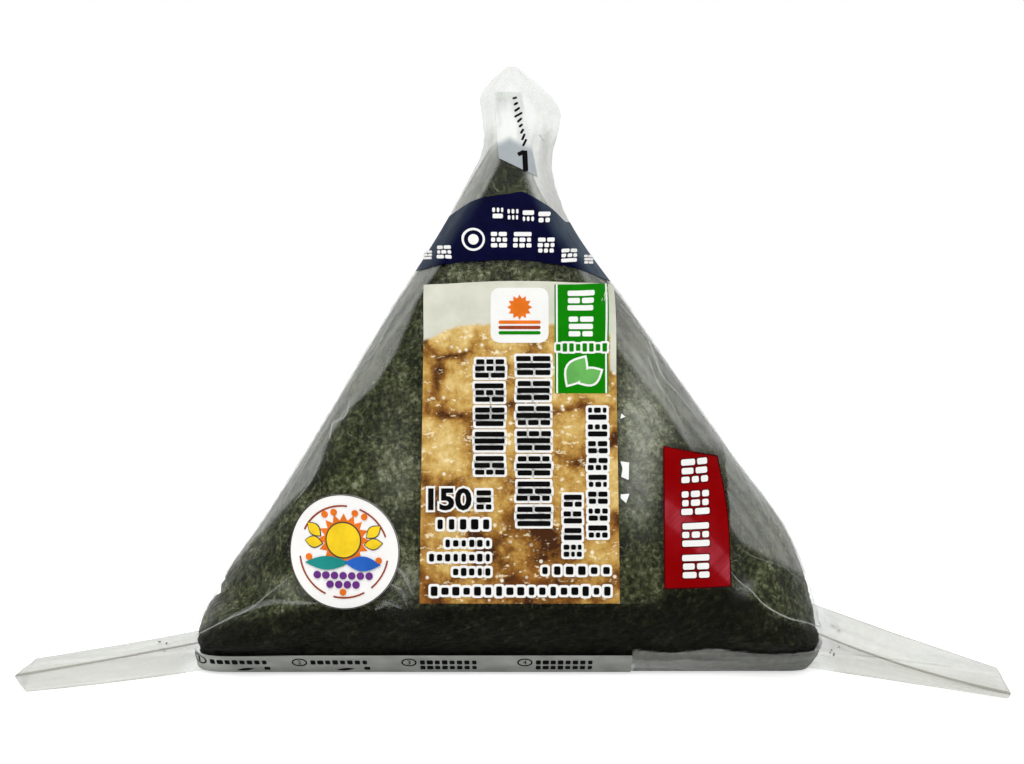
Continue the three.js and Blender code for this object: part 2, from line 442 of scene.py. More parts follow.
def sunburst(x: float, z: float, outer: float, inner: float, rays: int) -> Array:
    """Draws a disc with pointed rays as an anticlockwise outline."""
    reach = np.where(np.arange(2 * rays) % 2 == 0, outer, inner)
    return oval(x, z, reach, reach, 2 * rays)


def leaf(x: float, z: float, length: float, width: float, tilt: float) -> Array:
    """Draws a leaf with two pointed ends as an anticlockwise outline."""
    share = np.linspace(0, 1, 9)
    side = width / 2 * np.sin(share * math.pi)
    along = (share - 0.5) * length
    u = np.concatenate([along, along[-2:0:-1]])
    v = np.concatenate([-side, side[-2:0:-1]])
    return laid(u, v, x, z, tilt)


class Print:
    """Gathers flat shapes that lie on the front face and makes them one thin closed piece."""

    def __init__(self, form: PackForm, low: float, high: float) -> None:
        """Starts an empty print.

        Args:
            form: the form that the print lies on.
            low: how far its underside stands off the form, in millimetres.
            high: how far its upper side stands off the form.
        """
        self.form, self.low, self.high = form, low, high
        self.flat: list[Array] = []
        self.faces: list[tuple[int, ...]] = []
        self.count = 0

    def keep(self, flat: Array) -> int:
        """Adds points given as across, height and lift, and returns the first one's number."""
        first = self.count
        self.flat.append(flat)
        self.count += len(flat)
        return first

    def shape(self, outline: Array) -> None:
        """Adds a filled shape by its anticlockwise outline, which its middle sees all of."""
        middle = (outline.max(axis=0) + outline.min(axis=0)) / 2
        steps = max(math.ceil(np.hypot(*(outline - middle).T).max() / 1.0), 1)
        outline = finer(outline)
        sides = len(outline)
        rings = [middle + (outline - middle) * step / steps for step in range(1, steps + 1)]
        flat = np.concatenate([[middle], *rings])
        under = self.keep(np.column_stack([flat, np.full(len(flat), self.low)]))
        over = self.keep(np.column_stack([flat, np.full(len(flat), self.high)]))
        for k in range(sides):
            n = (k + 1) % sides
            self.faces += [(over, over + 1 + k, over + 1 + n), (under, under + 1 + n, under + 1 + k)]
            for step in range(steps - 1):
                a, b = 1 + step * sides + k, 1 + step * sides + n
                c, d = b + sides, a + sides
                self.faces.append((over + a, over + d, over + c, over + b))
                self.faces.append((under + a, under + b, under + c, under + d))
            a, b = 1 + (steps - 1) * sides + k, 1 + (steps - 1) * sides + n
            self.faces.append((under + a, under + b, over + b, over + a))

    def shapes(self, outlines: Iterable[Array]) -> None:
        """Adds several filled shapes."""
        for outline in outlines:
            self.shape(outline)

    def frame(self, outer: Array, inner: Array) -> None:
        """Adds the strip between two outlines with the same number of points."""
        sides = len(outer)
        levels = [(inner, self.low), (outer, self.low), (outer, self.high), (inner, self.high)]
        first = [self.keep(np.column_stack([line, np.full(sides, lift)])) for line, lift in levels]
        for k in range(sides):
            n = (k + 1) % sides
            for step in range(4):
                a, b = first[step], first[(step + 1) % 4]
                self.faces.append((a + k, a + n, b + n, b + k))

    def numeral(self, text: str, x: float, z: float, wide: float, tall: float, bold: float = 0) -> None:
        """Adds plain numerals.

        Args:
            text: the digits.
            x: the middle of the digits, across.
            z: the middle of the digits, in height.
            wide: their width.
            tall: their height.
            bold: how much thicker the digits' strokes are, as a share of their height.
        """
        curve = bpy.data.curves.new("digits", "FONT")
        curve.body = text
        curve.extrude = 0.5
        curve.offset = bold
        curve.resolution_u = 3
        digits = new_object("digits", curve)
        mesh = settled(digits)
        bpy.data.objects.remove(digits)
        bpy.data.curves.remove(curve)
        work = bmesh.new()
        work.from_mesh(mesh)
        bmesh.ops.remove_doubles(work, verts=work.verts, dist=1e-5)
        bmesh.ops.recalc_face_normals(work, faces=work.faces)
        work.verts.ensure_lookup_table()
        spots = np.array([vert.co for vert in work.verts])
        lowest, size = spots.min(axis=0), np.ptp(spots, axis=0)
        share = (spots - lowest) / size
        first = self.keep(np.column_stack([
            x + (share[:, 0] - 0.5) * wide,
            z + (share[:, 1] - 0.5) * tall,
            self.low + share[:, 2] * (self.high - self.low),
        ]))
        self.faces += [tuple(first + vert.index for vert in face.verts) for face in work.faces]
        work.free()
        bpy.data.meshes.remove(mesh)

    def piece(self, name: str, finish: "Finish", slot: str) -> Piece:
        """Lays the shapes on the form and makes them one piece of the pack."""
        flat = np.concatenate(self.flat)
        points = self.form.on_front(flat[:, 0], flat[:, 1], flat[:, 2])
        return complete(make_piece(name, points, self.faces, smooth=False), finish, slot)


def brick_marks(draw: Draw, x: float, z: float, wide: float, tall: float, rows: int = 3) -> Shapes:
    """Fills a cell with rows of short bars that stand in place of a sign.

    Args:
        draw: the seeded draw that picks where each row is broken.
        x: the middle of the cell, across.
        z: the middle of the cell, in height.
        wide: the cell's width.
        tall: the cell's height.
        rows: how many rows of bars the cell holds.

    Returns:
        The bars' outlines.
    """
    pitch = tall / rows
    gap = 0.28 * pitch
    most = 3 if wide > 1.6 * pitch else 2
    bars = []
    for row in range(rows):
        level = z + tall / 2 - pitch * (row + 0.5)
        count = int(draw.integers(1, most + 1))
        breaks = [(k + draw.uniform(-0.12, 0.12)) / count for k in range(1, count)]
        edges = [draw.uniform(0, 0.05), *breaks, draw.uniform(0.95, 1)]
        for start, end in zip(edges[:-1], edges[1:]):
            middle = x + wide * ((start + end) / 2 - 0.5)
            bars.append(rounded_bar(middle, level, wide * (end - start) - gap, pitch - gap, 0.2 * pitch))
    return bars


def grown(bar: Array, by: float) -> Array:
    """Moves a bar's outline outwards from its middle on both axes."""
    middle = (bar.max(axis=0) + bar.min(axis=0)) / 2
    half = (bar.max(axis=0) - bar.min(axis=0)) / 2
    return middle + (bar - middle) * (half + by) / half


# Finishes


class NodeSheet:
    """Adds and joins the nodes of one tree."""

    prefix = ""

    def __init__(self, tree: bpy.types.NodeTree) -> None:
        """Takes the tree that the nodes go into."""
        self.tree = tree

    def feed(self, node: Node, inputs: dict) -> None:
        """Fills inputs, by name or number, with values, sockets or the first sockets of nodes."""
        for key, value in inputs.items():
            if isinstance(value, Node):
                value = value.outputs[0]
            if isinstance(value, Socket):
                self.tree.links.new(value, node.inputs[key])
            else:
                node.inputs[key].default_value = value

    def add(self, kind: str, inputs: dict | None = None, **settings: object) -> Node:
        """Adds a node.

        Args:
            kind: the node's type, without the first part that the sheet's nodes share.
            inputs: values or sockets by the input's name or number.
            settings: the node's own settings.

        Returns:
            The new node.
        """
        node = self.tree.nodes.new(self.prefix + kind)
        for key, value in settings.items():
            setattr(node, key, value)
        self.feed(node, inputs or {})
        return node


class Graph(NodeSheet):
    """The nodes of one material."""

    prefix = "ShaderNode"

    def __init__(self, name: str) -> None:
        """Starts an empty material of this name."""
        self.made = bpy.data.materials.new(name)
        self.made.use_nodes = True
        super().__init__(self.made.node_tree)
        self.tree.nodes.clear()
        self.output = self.add("OutputMaterial")

    def spots(self) -> Socket:
        """Gives the piece's own coordinates."""
        return self.add("TexCoord").outputs["Object"]

    def noise(
        self, scale: float, detail: float = 3, stretch: Triple = (1, 1, 1), rough: float = 0.55
    ) -> Socket:
        """Gives a cloudy pattern from 0 to 1, with so many clouds to the metre."""
        turned = self.add("Mapping", {"Vector": self.spots(), "Scale": stretch})
        made = self.add("TexNoise", {
            "Vector": turned, "Scale": scale, "Detail": detail, "Roughness": rough,
        })
        return made.outputs[0]

    def attribute(self, name: str) -> Socket:
        """Gives the number that the piece's vertices keep under this name."""
        return self.add("Attribute", attribute_name=name).outputs["Fac"]

    def math(self, operation: str, *values: object) -> Socket:
        """Joins numbers or sockets by one sum."""
        return self.add("Math", dict(enumerate(values)), operation=operation).outputs[0]

    def times(self, first: object, second: object) -> Socket:
        """Multiplies two numbers or sockets."""
        return self.math("MULTIPLY", first, second)

    def plus(self, first: object, second: object) -> Socket:
        """Adds two numbers or sockets."""
        return self.math("ADD", first, second)

    def swing(self, pattern: object, depth: float) -> Socket:
        """Turns a pattern from 0 to 1 into one that swings this deep round nought."""
        return self.times(self.math("SUBTRACT", pattern, 0.5), depth)

    def span(
        self, value: object, low: float, high: float,
        to_low: float = 0, to_high: float = 1, smooth: bool = True,
    ) -> Socket:
        """Stretches the part of a value between two marks, and holds it outside them."""
        return self.add("MapRange", {
            "Value": value, "From Min": low, "From Max": high, "To Min": to_low, "To Max": to_high,
        }, interpolation_type="SMOOTHSTEP" if smooth else "LINEAR").outputs[0]

    def ramp(self, value: object, tones: Sequence[tuple], places: Sequence[float]) -> Socket:
        """Runs a value from 0 to 1 through a row of screen colours."""
        node = self.add("ValToRGB", {0: value})
        stops = node.color_ramp.elements
        for number, (tone, at) in enumerate(zip(tones, places)):
            stop = stops[number] if number < 2 else stops.new(at)
            stop.position = at
            stop.color = linear(*tone)
        return node.outputs[0]

    def blend(self, share: object, first: object, second: object, how: str = "MIX") -> Socket:
        """Mixes two colours by a share."""
        node = self.add("Mix", data_type="RGBA", blend_type=how)
        self.feed(node, {0: share, 6: first, 7: second})
        return node.outputs[2]

    def bump(self, height: Socket, depth: float, strength: float = 1) -> Socket:
        """Turns a pattern into relief of this depth in metres."""
        return self.add("Bump", {"Height": height, "Distance": depth, "Strength": strength}).outputs[0]

    def close(self, shader: Node) -> Material:
        """Joins the shader to the material's output and gives the material."""
        self.feed(self.output, {"Surface": shader})
        return self.made

    def coat(self, colour: Socket, rough: Socket, shine: float, relief: Socket | None = None) -> Material:
        """Gives the material one coat.

        Args:
            colour: the coat's colour.
            rough: its roughness.
            shine: how strongly it mirrors.
            relief: its relief, if it has one.

        Returns:
            The finished material.
        """
        inputs = {"Base Color": colour, "Roughness": rough, "Specular IOR Level": shine}
        if relief:
            inputs["Normal"] = relief
        return self.close(self.add("BsdfPrincipled", inputs))


@dataclass(frozen=True)
class Finish:
    """A finish that makes its material once."""

    name: str

    def material(self) -> Material:
        """Gives the finish's material, made on the first call."""
        found = bpy.data.materials.get(self.name)
        return found if found else self.build()

    def build(self) -> Material:
        """Makes the material."""
        raise NotImplementedError


@dataclass(frozen=True)
class InkFinish(Finish):
    """Ink printed on film or paper: even in hue, with the faint mottle and grain of a print."""

    colour: Triple = (0, 0, 0)
    roughness: float = 0.42
    mottle: float = 0.1
    haze: Triple | None = None

    def build(self) -> Material:
        """Makes the print's material."""
        graph = Graph(self.name)
        base = np.array(linear(*self.colour)[:3])
        dark = (*(base * (1 - self.mottle)), 1)
        light = (*np.minimum(base * (1 + self.mottle) + 0.001, 1), 1)
        cloud = graph.noise(260, 4)
        colour = graph.blend(graph.span(cloud, 0.35, 0.65), dark, light)
        # Veils the ink towards a lighter tone where asked: film haze, and on some pieces painted glare,
        # reflection or light.
        if self.haze:
            uneven = graph.span(graph.noise(420, 2, (1, 1, 0.3)), 0.25, 0.75, 0.6, 1.2)
            veil = graph.times(graph.attribute("haze"), uneven)
            colour = graph.blend(veil, colour, linear(*self.haze))
        rough = graph.span(graph.noise(900, 2), 0.3, 0.7, self.roughness - 0.06, self.roughness + 0.08)
        return graph.coat(colour, rough, 0.02, graph.bump(graph.noise(1500, 2), 0.00001))


@dataclass(frozen=True)
class SeaweedFinish(Finish):
    """Dried seaweed: near-black green, pressed from fibres, with olive patches and a painted grey sheen."""

    tones: tuple = ((10, 13, 3), (40, 45, 18), (80, 86, 50), (124, 130, 94), (176, 180, 152))
    olive: Triple = (72, 72, 20)
    roughness: float = 0.6

    def build(self) -> Material:
        """Makes the seaweed's material."""
        graph = Graph(self.name)
        patch = graph.noise(170, 5, rough=0.62)
        fibre = graph.noise(1250, 6, (1, 1, 0.7), 0.76)
        cross = graph.noise(2100, 4, (0.6, 1, 1), 0.7)
        grain = graph.plus(graph.times(fibre, 0.62), graph.times(cross, 0.38))
        lift = graph.swing(patch, 0.34)
        # Painted sheen: lighter patches where the film and seaweed would mirror the light.
        glow = graph.times(graph.attribute("bloom"), 0.13)
        level = graph.plus(graph.plus(grain, lift), glow)
        level_shown = graph.span(level, 0.42, 0.69, smooth=False)
        colour = graph.ramp(level_shown, self.tones, (0.0, 0.3, 0.55, 0.78, 1.0))
        olive = graph.times(graph.span(graph.noise(90, 4), 0.5, 0.7), 0.55)
        colour = graph.blend(olive, colour, linear(*self.olive), "OVERLAY")
        # Painted shade: near-black where the face turns under into the foot.
        colour = graph.blend(graph.attribute("shade"), (0.003, 0.003, 0.001, 1), colour)
        rough = graph.span(level, 0.35, 0.7, self.roughness + 0.15, self.roughness - 0.1)
        relief = graph.plus(graph.times(grain, 1.2), patch)
        return graph.coat(colour, rough, 0.1, graph.bump(relief, 0.0011))


@dataclass(frozen=True)
class StrandFinish(Finish):
    """The pale fibres that stand up from the seaweed, each in a tone of its own."""

    dark: Triple = (20, 24, 9)
    light: Triple = (172, 176, 148)

    def build(self) -> Material:
        """Makes the fibres' material."""
        graph = Graph(self.name)
        tone = graph.times(graph.attribute("tone"), graph.span(graph.noise(300, 2), 0.35, 0.65, 0.2, 1))
        # Painted shade: the fibres darken with the seaweed in the undercut foot.
        tone = graph.times(tone, graph.math("POWER", graph.attribute("shade"), 1.5))
        colour = graph.blend(tone, linear(*self.dark), linear(*self.light))
        return graph.coat(colour, graph.span(graph.noise(700, 2), 0.3, 0.7, 0.5, 0.75), 0.1)


@dataclass(frozen=True)
class FilmFinish(Finish):
    """Clear film: hazy where it stands off what it holds, glossy where it catches the light, and greyed
    towards a shaded tone where painted shade is asked for.
    """

    milk: Triple = (244, 246, 240)
    roughness: float = 0.12
    gloss: float = 0.009
    edge: float = 0.5
    grain: float = 0.14
    shaded: Triple = (150, 150, 142)

    def build(self) -> Material:
        """Makes the film's material."""
        graph = Graph(self.name)
        fine = graph.noise(900, 2, (1, 1, 0.5))
        broad = graph.noise(220, 3)
        uneven = graph.span(fine, 0.25, 0.75, 1 - self.grain, 1 + self.grain)
        veil = graph.times(graph.attribute("haze"), uneven)
        clear = graph.add("BsdfTransparent", {"Color": (0.985, 0.99, 0.985, 1)})
        # Painted shade: the milk greys towards its shaded tone where the film lies in shade.
        tone = graph.blend(graph.attribute("tint"), linear(*self.milk), linear(*self.shaded))
        cloth = graph.add("BsdfDiffuse", {"Color": tone})
        through = graph.add("BsdfTranslucent", {"Color": tone})
        milk = graph.add("MixShader", {0: 0.3, 1: cloth, 2: through})
        body = graph.add("MixShader", {0: veil, 1: clear, 2: milk})
        relief = graph.bump(graph.plus(broad, graph.times(fine, 0.12)), 0.0004, 0.7)
        glow = graph.add("BsdfGlossy", {"Roughness": self.roughness, "Normal": relief})
        facing = graph.add("LayerWeight", {"Blend": 0.5, "Normal": relief}).outputs["Facing"]
        rise = graph.times(graph.math("POWER", facing, 4.0), self.edge)
        share = graph.times(graph.plus(rise, self.gloss), graph.attribute("gloss"))
        film = graph.add("MixShader", {0: share, 1: body, 2: glow})
        return graph.close(film)


@dataclass(frozen=True)
class GlazeFinish(Finish):
    """The label's field: cream at the top, and golden-brown glazed pieces below it."""

    cream: Triple = (221, 221, 205)
    tones: tuple = ((66, 34, 10), (136, 90, 34), (188, 146, 72), (214, 180, 106), (238, 212, 150))

    def build(self) -> Material:
        """Makes the label's material."""
        graph = Graph(self.name)
        lumps = graph.noise(300, 5, rough=0.66)
        crumb = graph.noise(1100, 4, rough=0.7)
        level = graph.attribute("swell")
        level = graph.plus(level, graph.swing(lumps, 1.6))
        level = graph.plus(level, graph.swing(crumb, 0.7))
        level_shown = graph.span(level, 0.0, 1.1, smooth=False)
        glaze = graph.ramp(level_shown, self.tones, (0.0, 0.28, 0.52, 0.74, 1.0))
        red = graph.span(graph.noise(95, 2), 0.56, 0.72)
        glaze = graph.blend(graph.times(red, 0.3), glaze, linear(150, 84, 26))
        dots = graph.add("TexVoronoi", {"Vector": graph.spots(), "Scale": 900.0}, feature="F1")
        own = graph.add("SeparateColor", {0: dots.outputs["Color"]}).outputs[0]
        spark = graph.times(graph.span(dots.outputs["Distance"], 0.34, 0.16), graph.span(own, 0.55, 0.62))
        spark = graph.times(spark, graph.span(graph.noise(230, 3), 0.46, 0.58))
        glaze = graph.blend(graph.times(spark, 0.8), glaze, linear(255, 248, 226))
        streak = graph.span(graph.noise(620, 3, (1, 1, 2.0), 0.7), 0.585, 0.66)
        glaze = graph.blend(graph.times(streak, 0.7), glaze, linear(250, 236, 196))
        cloud = graph.span(graph.noise(240, 3), 0.3, 0.7)
        creamy = graph.blend(cloud, linear(208, 208, 192), linear(*self.cream))
        colour = graph.blend(graph.attribute("cream"), glaze, creamy)
        rough = graph.span(graph.noise(900, 2), 0.3, 0.7, 0.34, 0.46)
        return graph.coat(colour, rough, 0.1, graph.bump(graph.noise(1500, 2), 0.00002))


@dataclass(frozen=True)
class StudioFinish(Finish):
    """The studio's near-white floor, lifted to white where the camera sees it."""

    glow: float = 0.62

    def build(self) -> Material:
        """Makes the floor's material."""
        graph = Graph(self.name)
        cloud = graph.span(graph.noise(6, 2), 0.3, 0.7)
        tone = graph.blend(cloud, (0.92, 0.92, 0.92, 1), (0.94, 0.94, 0.94, 1))
        floor = graph.add("BsdfDiffuse", {"Color": tone})
        seen = graph.add("LightPath").outputs["Is Camera Ray"]
        glow = graph.add("Emission", {"Strength": graph.times(seen, self.glow)})
        both = graph.add("AddShader", {0: floor, 1: glow})
        return graph.close(both)


WHITE_INK = InkFinish("white_ink", (245, 245, 242), mottle=0.02)
BLACK_INK = InkFinish("black_ink", (9, 8, 8))
CREAM_PAPER = InkFinish("sticker_paper", (250, 249, 246), 0.5, 0.015)
GREEN_INK = InkFinish("green_ink", (14, 128, 4), mottle=0.05)
PALE_GREEN_INK = InkFinish("pale_green_ink", (104, 176, 90))
# Dark ink for printed outlines, and for the painted shadow line at the sticker's edge.
OUTLINE_AND_EDGE_SHADOW_INK = InkFinish("rim_ink", (70, 66, 62))
RUST_INK = InkFinish("rust_ink", (150, 66, 38))
SUN_INK = InkFinish("sun_ink", (244, 206, 40))
ORANGE_INK = InkFinish("orange_ink", (232, 118, 34))
TEAL_INK = InkFinish("teal_ink", (36, 138, 132))
BLUE_INK = InkFinish("blue_ink", (44, 100, 190))
PURPLE_INK = InkFinish("purple_ink", (106, 52, 130))
NAVY_INK = InkFinish("navy_ink", (0, 1, 40), 0.34, 0.15, haze=(92, 108, 120))
RED_INK = InkFinish("red_ink", (136, 0, 3), 0.32, 0.06, haze=(200, 84, 100))
DEEP_RED_INK = InkFinish("deep_red_ink", (66, 2, 8))
TAB_INK = InkFinish("tab_ink", (168, 175, 179), 0.38, 0.05, haze=(240, 242, 238))
# White print painted grey for the shade of the undercut foot.
SHADED_STRIP_INK = InkFinish("strip_ink", (156, 158, 152), 0.4, 0.07, haze=(196, 198, 192))
SEAWEED = SeaweedFinish("seaweed")
STRANDS = StrandFinish("seaweed_strands")
CRUMBS = InkFinish("seaweed_crumbs", (22, 25, 10), 0.6, 0.3)
FILM = FilmFinish("clear_film", shaded=(168, 170, 162))
EAR_FILM = FilmFinish(
    "ear_film", (251, 252, 247), 0.3, gloss=0.02, edge=0.12, grain=0.05, shaded=(178, 177, 166),
)
SEAM_FILM = FilmFinish("seam_film", (186, 184, 174), 0.25, gloss=0.02, edge=0.2, grain=0.1)
GLINT = InkFinish("film_glint", (246, 248, 244), 0.3, 0.05)
FOLD_FILM = FilmFinish("folded_film", (236, 238, 234), 0.14, gloss=0.03, edge=0.4, grain=0.2)
GLAZE = GlazeFinish("glazed_picture")
FLOOR = StudioFinish("studio_floor")


# The pack's contents


def sections(front: int, back: int, *spans: Triple) -> Spots:
    """Lays level sections through the pack.

    Args:
        front: how many places each section has on the front.
        back: how many it has on the back.
        spans: spans of height, each given by its start, its end and its step.

    Returns:
        The height and the turn of every place, by section and by place round it.
    """
    levels = [np.arange(start, end - step / 2, step) for start, end, step in spans]
    turns = [np.arange(back) * math.pi / back, math.pi + np.arange(front) * math.pi / front]
    heights = np.append(np.concatenate(levels), spans[-1][1])
    return np.meshgrid(heights, np.concatenate(turns), indexing="ij")


@dataclass
class SeaweedWrap:
    """The sheet of seaweed round the rice, out to its uneven corners."""

    form: PackForm
    bottom: float = 0.5
    front_edge: float = 2.4
    tip: float = 84.2
    inset: float = 0.12
    relief: float = 0.3
    notch_height: float = 10.8
    front_columns: int = 210
    back_columns: int = 90

    def half_width(self, side: Array, z: Array) -> Array:
        """Gives the seaweed's outline: it leaves the film's on the right as it nears the tip."""
        right = Profile([
            (0, 60), (58, 18.4), (62, 15.4), (66, 12.0), (70, 8.7), (74, 5.4), (77, 3.8), (80, 2.9),
            (83, 1.7), (self.tip, 0.5),
        ])(z)
        left = Profile([(0, 60), (70, 11.4), (75.5, 7.7), (80, 5.0), (82.5, 3.4), (self.tip, 1.4)])(z)
        film = self.form.half_width(side, z) - self.inset
        ragged = Ripples(5, 1.2, 5.0)(z * 1.7, np.where(side < 0, 20.0, 50.0))
        corner = 0.35 * within(z, 9, 8) * ragged
        bite = 0.9 * np.exp(-((z - self.notch_height) / 0.5) ** 2) * (side < 0)
        return np.minimum(film, np.where(side < 0, left, right)) - np.maximum(corner, 0) - bite

    def rings(self) -> Array:
        """Lays level sections through the seaweed and raises its relief."""
        spans = (self.bottom, 20, 0.45), (20, 76, 0.6), (76, self.tip, 0.5)
        z, turns = sections(self.front_columns, self.back_columns, *spans)
        share = np.cos(turns)
        x = share * self.half_width(share, z)
        depth = self.form.depth_at_share(np.abs(share), z) - self.inset
        inwards = (self.front_edge - z) / (self.front_edge - self.bottom + 0.05)
        tuck = np.sqrt(np.clip(1 - inwards ** 2, 0.02, 1))
        depth = np.maximum(depth, 0.05) * np.where(z < self.front_edge, tuck, 1)
        points = np.stack([x, np.sign(np.sin(turns)) * depth, z], axis=-1)
        broad = Ripples(11, 5, 16)(x, z)
        fine = Ripples(12, 1.1, 3.2, 26)(x + 3 * points[..., 1], z)
        crumple = np.abs(Ripples(13, 2.2, 7.0, 20)(x, z)) * within(z, 13, 5)
        sink = self.relief * (0.5 + 0.3 * broad + 0.22 * fine) + 0.35 * crumple
        fade = np.minimum(1, np.abs(points[..., 1]) / 3)
        return points - outward(points) * (np.maximum(sink, 0) * fade)[..., None]

    def shade(self, x: Array, y: Array, z: Array) -> Array:
        """Says how light the seaweed is: painted shade darkens it in the undercut foot, and the leaning face
        keeps its full tone with a random cloudy variation.
        """
        foot = self.form.foot(x, z)
        cloud = 0.14 * Ripples(21, 6, 18)(x, z) + 0.08 * Ripples(23, 1.6, 5, 20)(x, z)
        darkest = 0.92 - 0.16 * np.maximum(Ripples(24, 1.2, 4, 20)(x, z), 0)
        return np.clip(1 - darkest * foot * (y < 0) + cloud * (1 - foot), 0.06, 1)

    def bloom(self, x: Array, z: Array) -> Array:
        """Says where the seaweed shows a painted grey sheen: lighter patches that stand in for reflections
        of the light, over a faint random tone.
        """
        total = 0.1 + 0.12 * Ripples(22, 4, 12)(x, z)
        spots = [
            (-17, 32, 4.5, 8, 0.5), (-18.5, 50, 4, 8, 0.25), (20, 39, 4.5, 9, 0.95),
            (-29, 24, 6, 4, 0.3), (-15, 17, 3.5, 4, 0.6), (0, 62.5, 14, 2.2, 0.5),
            (41, 17, 6, 5, 0.3), (-34, 14.4, 5, 2, 0.5), (19, 22, 3, 6, 0.4),
        ]
        for across, up, wide, tall, level in spots:
            total += level * hump(x, z, across, up, wide, tall)
        return np.clip(total, 0, 1)

    def build(self) -> Piece:
        """Makes the seaweed-wrapped rice."""
        points, faces = ring_body(self.rings(), 5)
        wrap = make_piece("seaweed_wrap", points, faces)
        x, y, z = points.T
        return complete(
            wrap, SEAWEED, "film_pack", "film_pack", shade=self.shade(x, y, z), bloom=self.bloom(x, z),
        )


class TreeSketch(NodeSheet):
    """The nodes of one Geometry Nodes tree."""

    def __init__(self, name: str, inputs: dict[str, int | float]) -> None:
        """Starts a tree.

        Args:
            name: the tree's name.
            inputs: the value of each input besides the geometry, by the input's name.
        """
        super().__init__(bpy.data.node_groups.new(name, "GeometryNodeTree"))
        face = self.tree.interface
        face.new_socket("Geometry", in_out="INPUT", socket_type="NodeSocketGeometry")
        face.new_socket("Geometry", in_out="OUTPUT", socket_type="NodeSocketGeometry")
        self.keys = {}
        for label, value in inputs.items():
            kind = "NodeSocketInt" if isinstance(value, int) else "NodeSocketFloat"
            socket = face.new_socket(label, in_out="INPUT", socket_type=kind)
            self.keys[socket.identifier] = value
        self.given = self.add("NodeGroupInput").outputs
        self.result = self.add("NodeGroupOutput")

    def random(self, low: object, high: object, seed: int, kind: str = "FLOAT") -> Socket:
        """Draws a seeded number, or a vector, between two values."""
        node = self.add("FunctionNodeRandomValue", data_type=kind)
        slots = {"FLOAT": (2, 3, 1), "FLOAT_VECTOR": (0, 1, 0)}[kind]
        self.feed(node, {slots[0]: low, slots[1]: high, "Seed": seed})
        return node.outputs[slots[2]]

    def spread(self, density: Socket | Node, seed: int) -> Node:
        """Scatters points over the ground, so many to the square metre."""
        return self.add("GeometryNodeDistributePointsOnFaces", {
            "Mesh": self.given["Geometry"], "Density": density, "Seed": seed,
        })

    def copies(self, one: Piece, inputs: dict) -> Socket:
        """Sets a copy of an object on every point.

        Args:
            one: the object.
            inputs: the points, and how the copies are turned and sized on them.
        """
        model = self.add("GeometryNodeObjectInfo", {"Object": one})
        return self.add("GeometryNodeInstanceOnPoints", {
            "Instance": model.outputs["Geometry"], **inputs,
        }).outputs[0]

    def finish(self, instances: Socket, finish: Finish) -> None:
        """Ends the tree: the instances are made real and get their finish."""
        real = self.add("GeometryNodeRealizeInstances", {0: instances})
        dressed = self.add("GeometryNodeSetMaterial", {0: real, "Material": finish.material()})
        self.feed(self.result, {0: dressed})

    def grow(self, name: str, ground: Piece, *spent: Piece) -> Piece:
        """Runs the tree on a copy of the ground.

        Args:
            name: the new piece's name.
            ground: the object whose mesh goes into the tree.
            spent: helper objects that are removed afterwards.

        Returns:
            The new piece, a plain mesh.
        """
        stand = new_object(name + "_ground", ground.data.copy())
        modifier = stand.modifiers.new("grow", "NODES")
        modifier.node_group = self.tree
        for key, value in self.keys.items():
            modifier[key] = value
        mesh = settled(stand)
        mesh.name = name
        stand.modifiers.remove(modifier)
        for helper in (stand, *spent):
            bpy.data.objects.remove(helper)
        return new_object(name, mesh)


@dataclass
class SeaweedStrands:
    """Fine pale fibres pressed into the seaweed, scattered over it by a Geometry Nodes tree."""

    per_square_metre: float = 480000.0
    length: float = 1.15
    width: float = 0.12
    seed: int = 7

    def strand(self) -> Piece:
        """Makes one fibre: a short bent ribbon with a low ridge."""
        places = np.linspace(-0.5, 0.5, 4)
        points, faces = [], []
        for along in places:
            bend = 0.22 * math.sin(along * 5.2)
            half = self.width / self.length / 2 * math.cos(along * 2.8)
            points += [(along, bend - half, 0), (along, bend + half, 0), (along, bend, half * 0.9)]
        for i in range(len(places) - 1):
            a, b = 3 * i, 3 * (i + 1)
            faces += [(a, b, b + 2, a + 2), (a + 2, b + 2, b + 1, a + 1), (a + 1, b + 1, b, a)]
        last = 3 * (len(places) - 1)
        faces += [(0, 2, 1), (last, last + 1, last + 2)]
        return make_piece("one_strand", np.array(points) * self.length, faces)

    def build(self, wrap: Piece) -> Piece:
        """Scatters the fibres over the wrapped rice.

        Args:
            wrap: the seaweed that they lie on.
        """
        one = self.strand()
        sketch = TreeSketch("scatter_strands", {
            "Strands per square metre": self.per_square_metre, "Smallest": 0.35, "Largest": 1.25,
        })
        spread = sketch.spread(sketch.given["Strands per square metre"], self.seed)
        tone = sketch.add("GeometryNodeStoreNamedAttribute", {
            "Geometry": spread.outputs["Points"], "Name": "tone",
            "Value": sketch.random(0.0, 1.0, self.seed + 1),
        }, data_type="FLOAT", domain="POINT")
        spin = sketch.add("FunctionNodeRotateRotation", {
            0: spread.outputs["Rotation"],
            1: sketch.add("FunctionNodeAxisAngleToRotation", {
                "Axis": (0, 0, 1), "Angle": sketch.random(0.0, TAU, self.seed + 2),
            }),
        }, rotation_space="LOCAL")
        scatter = sketch.copies(one, {
            "Points": tone, "Rotation": spin,
            "Scale": sketch.random(sketch.given["Smallest"], sketch.given["Largest"], self.seed + 3),
        })
        sketch.finish(scatter, STRANDS)
        return place(sketch.grow("seaweed_strands", wrap, one), "film_pack")


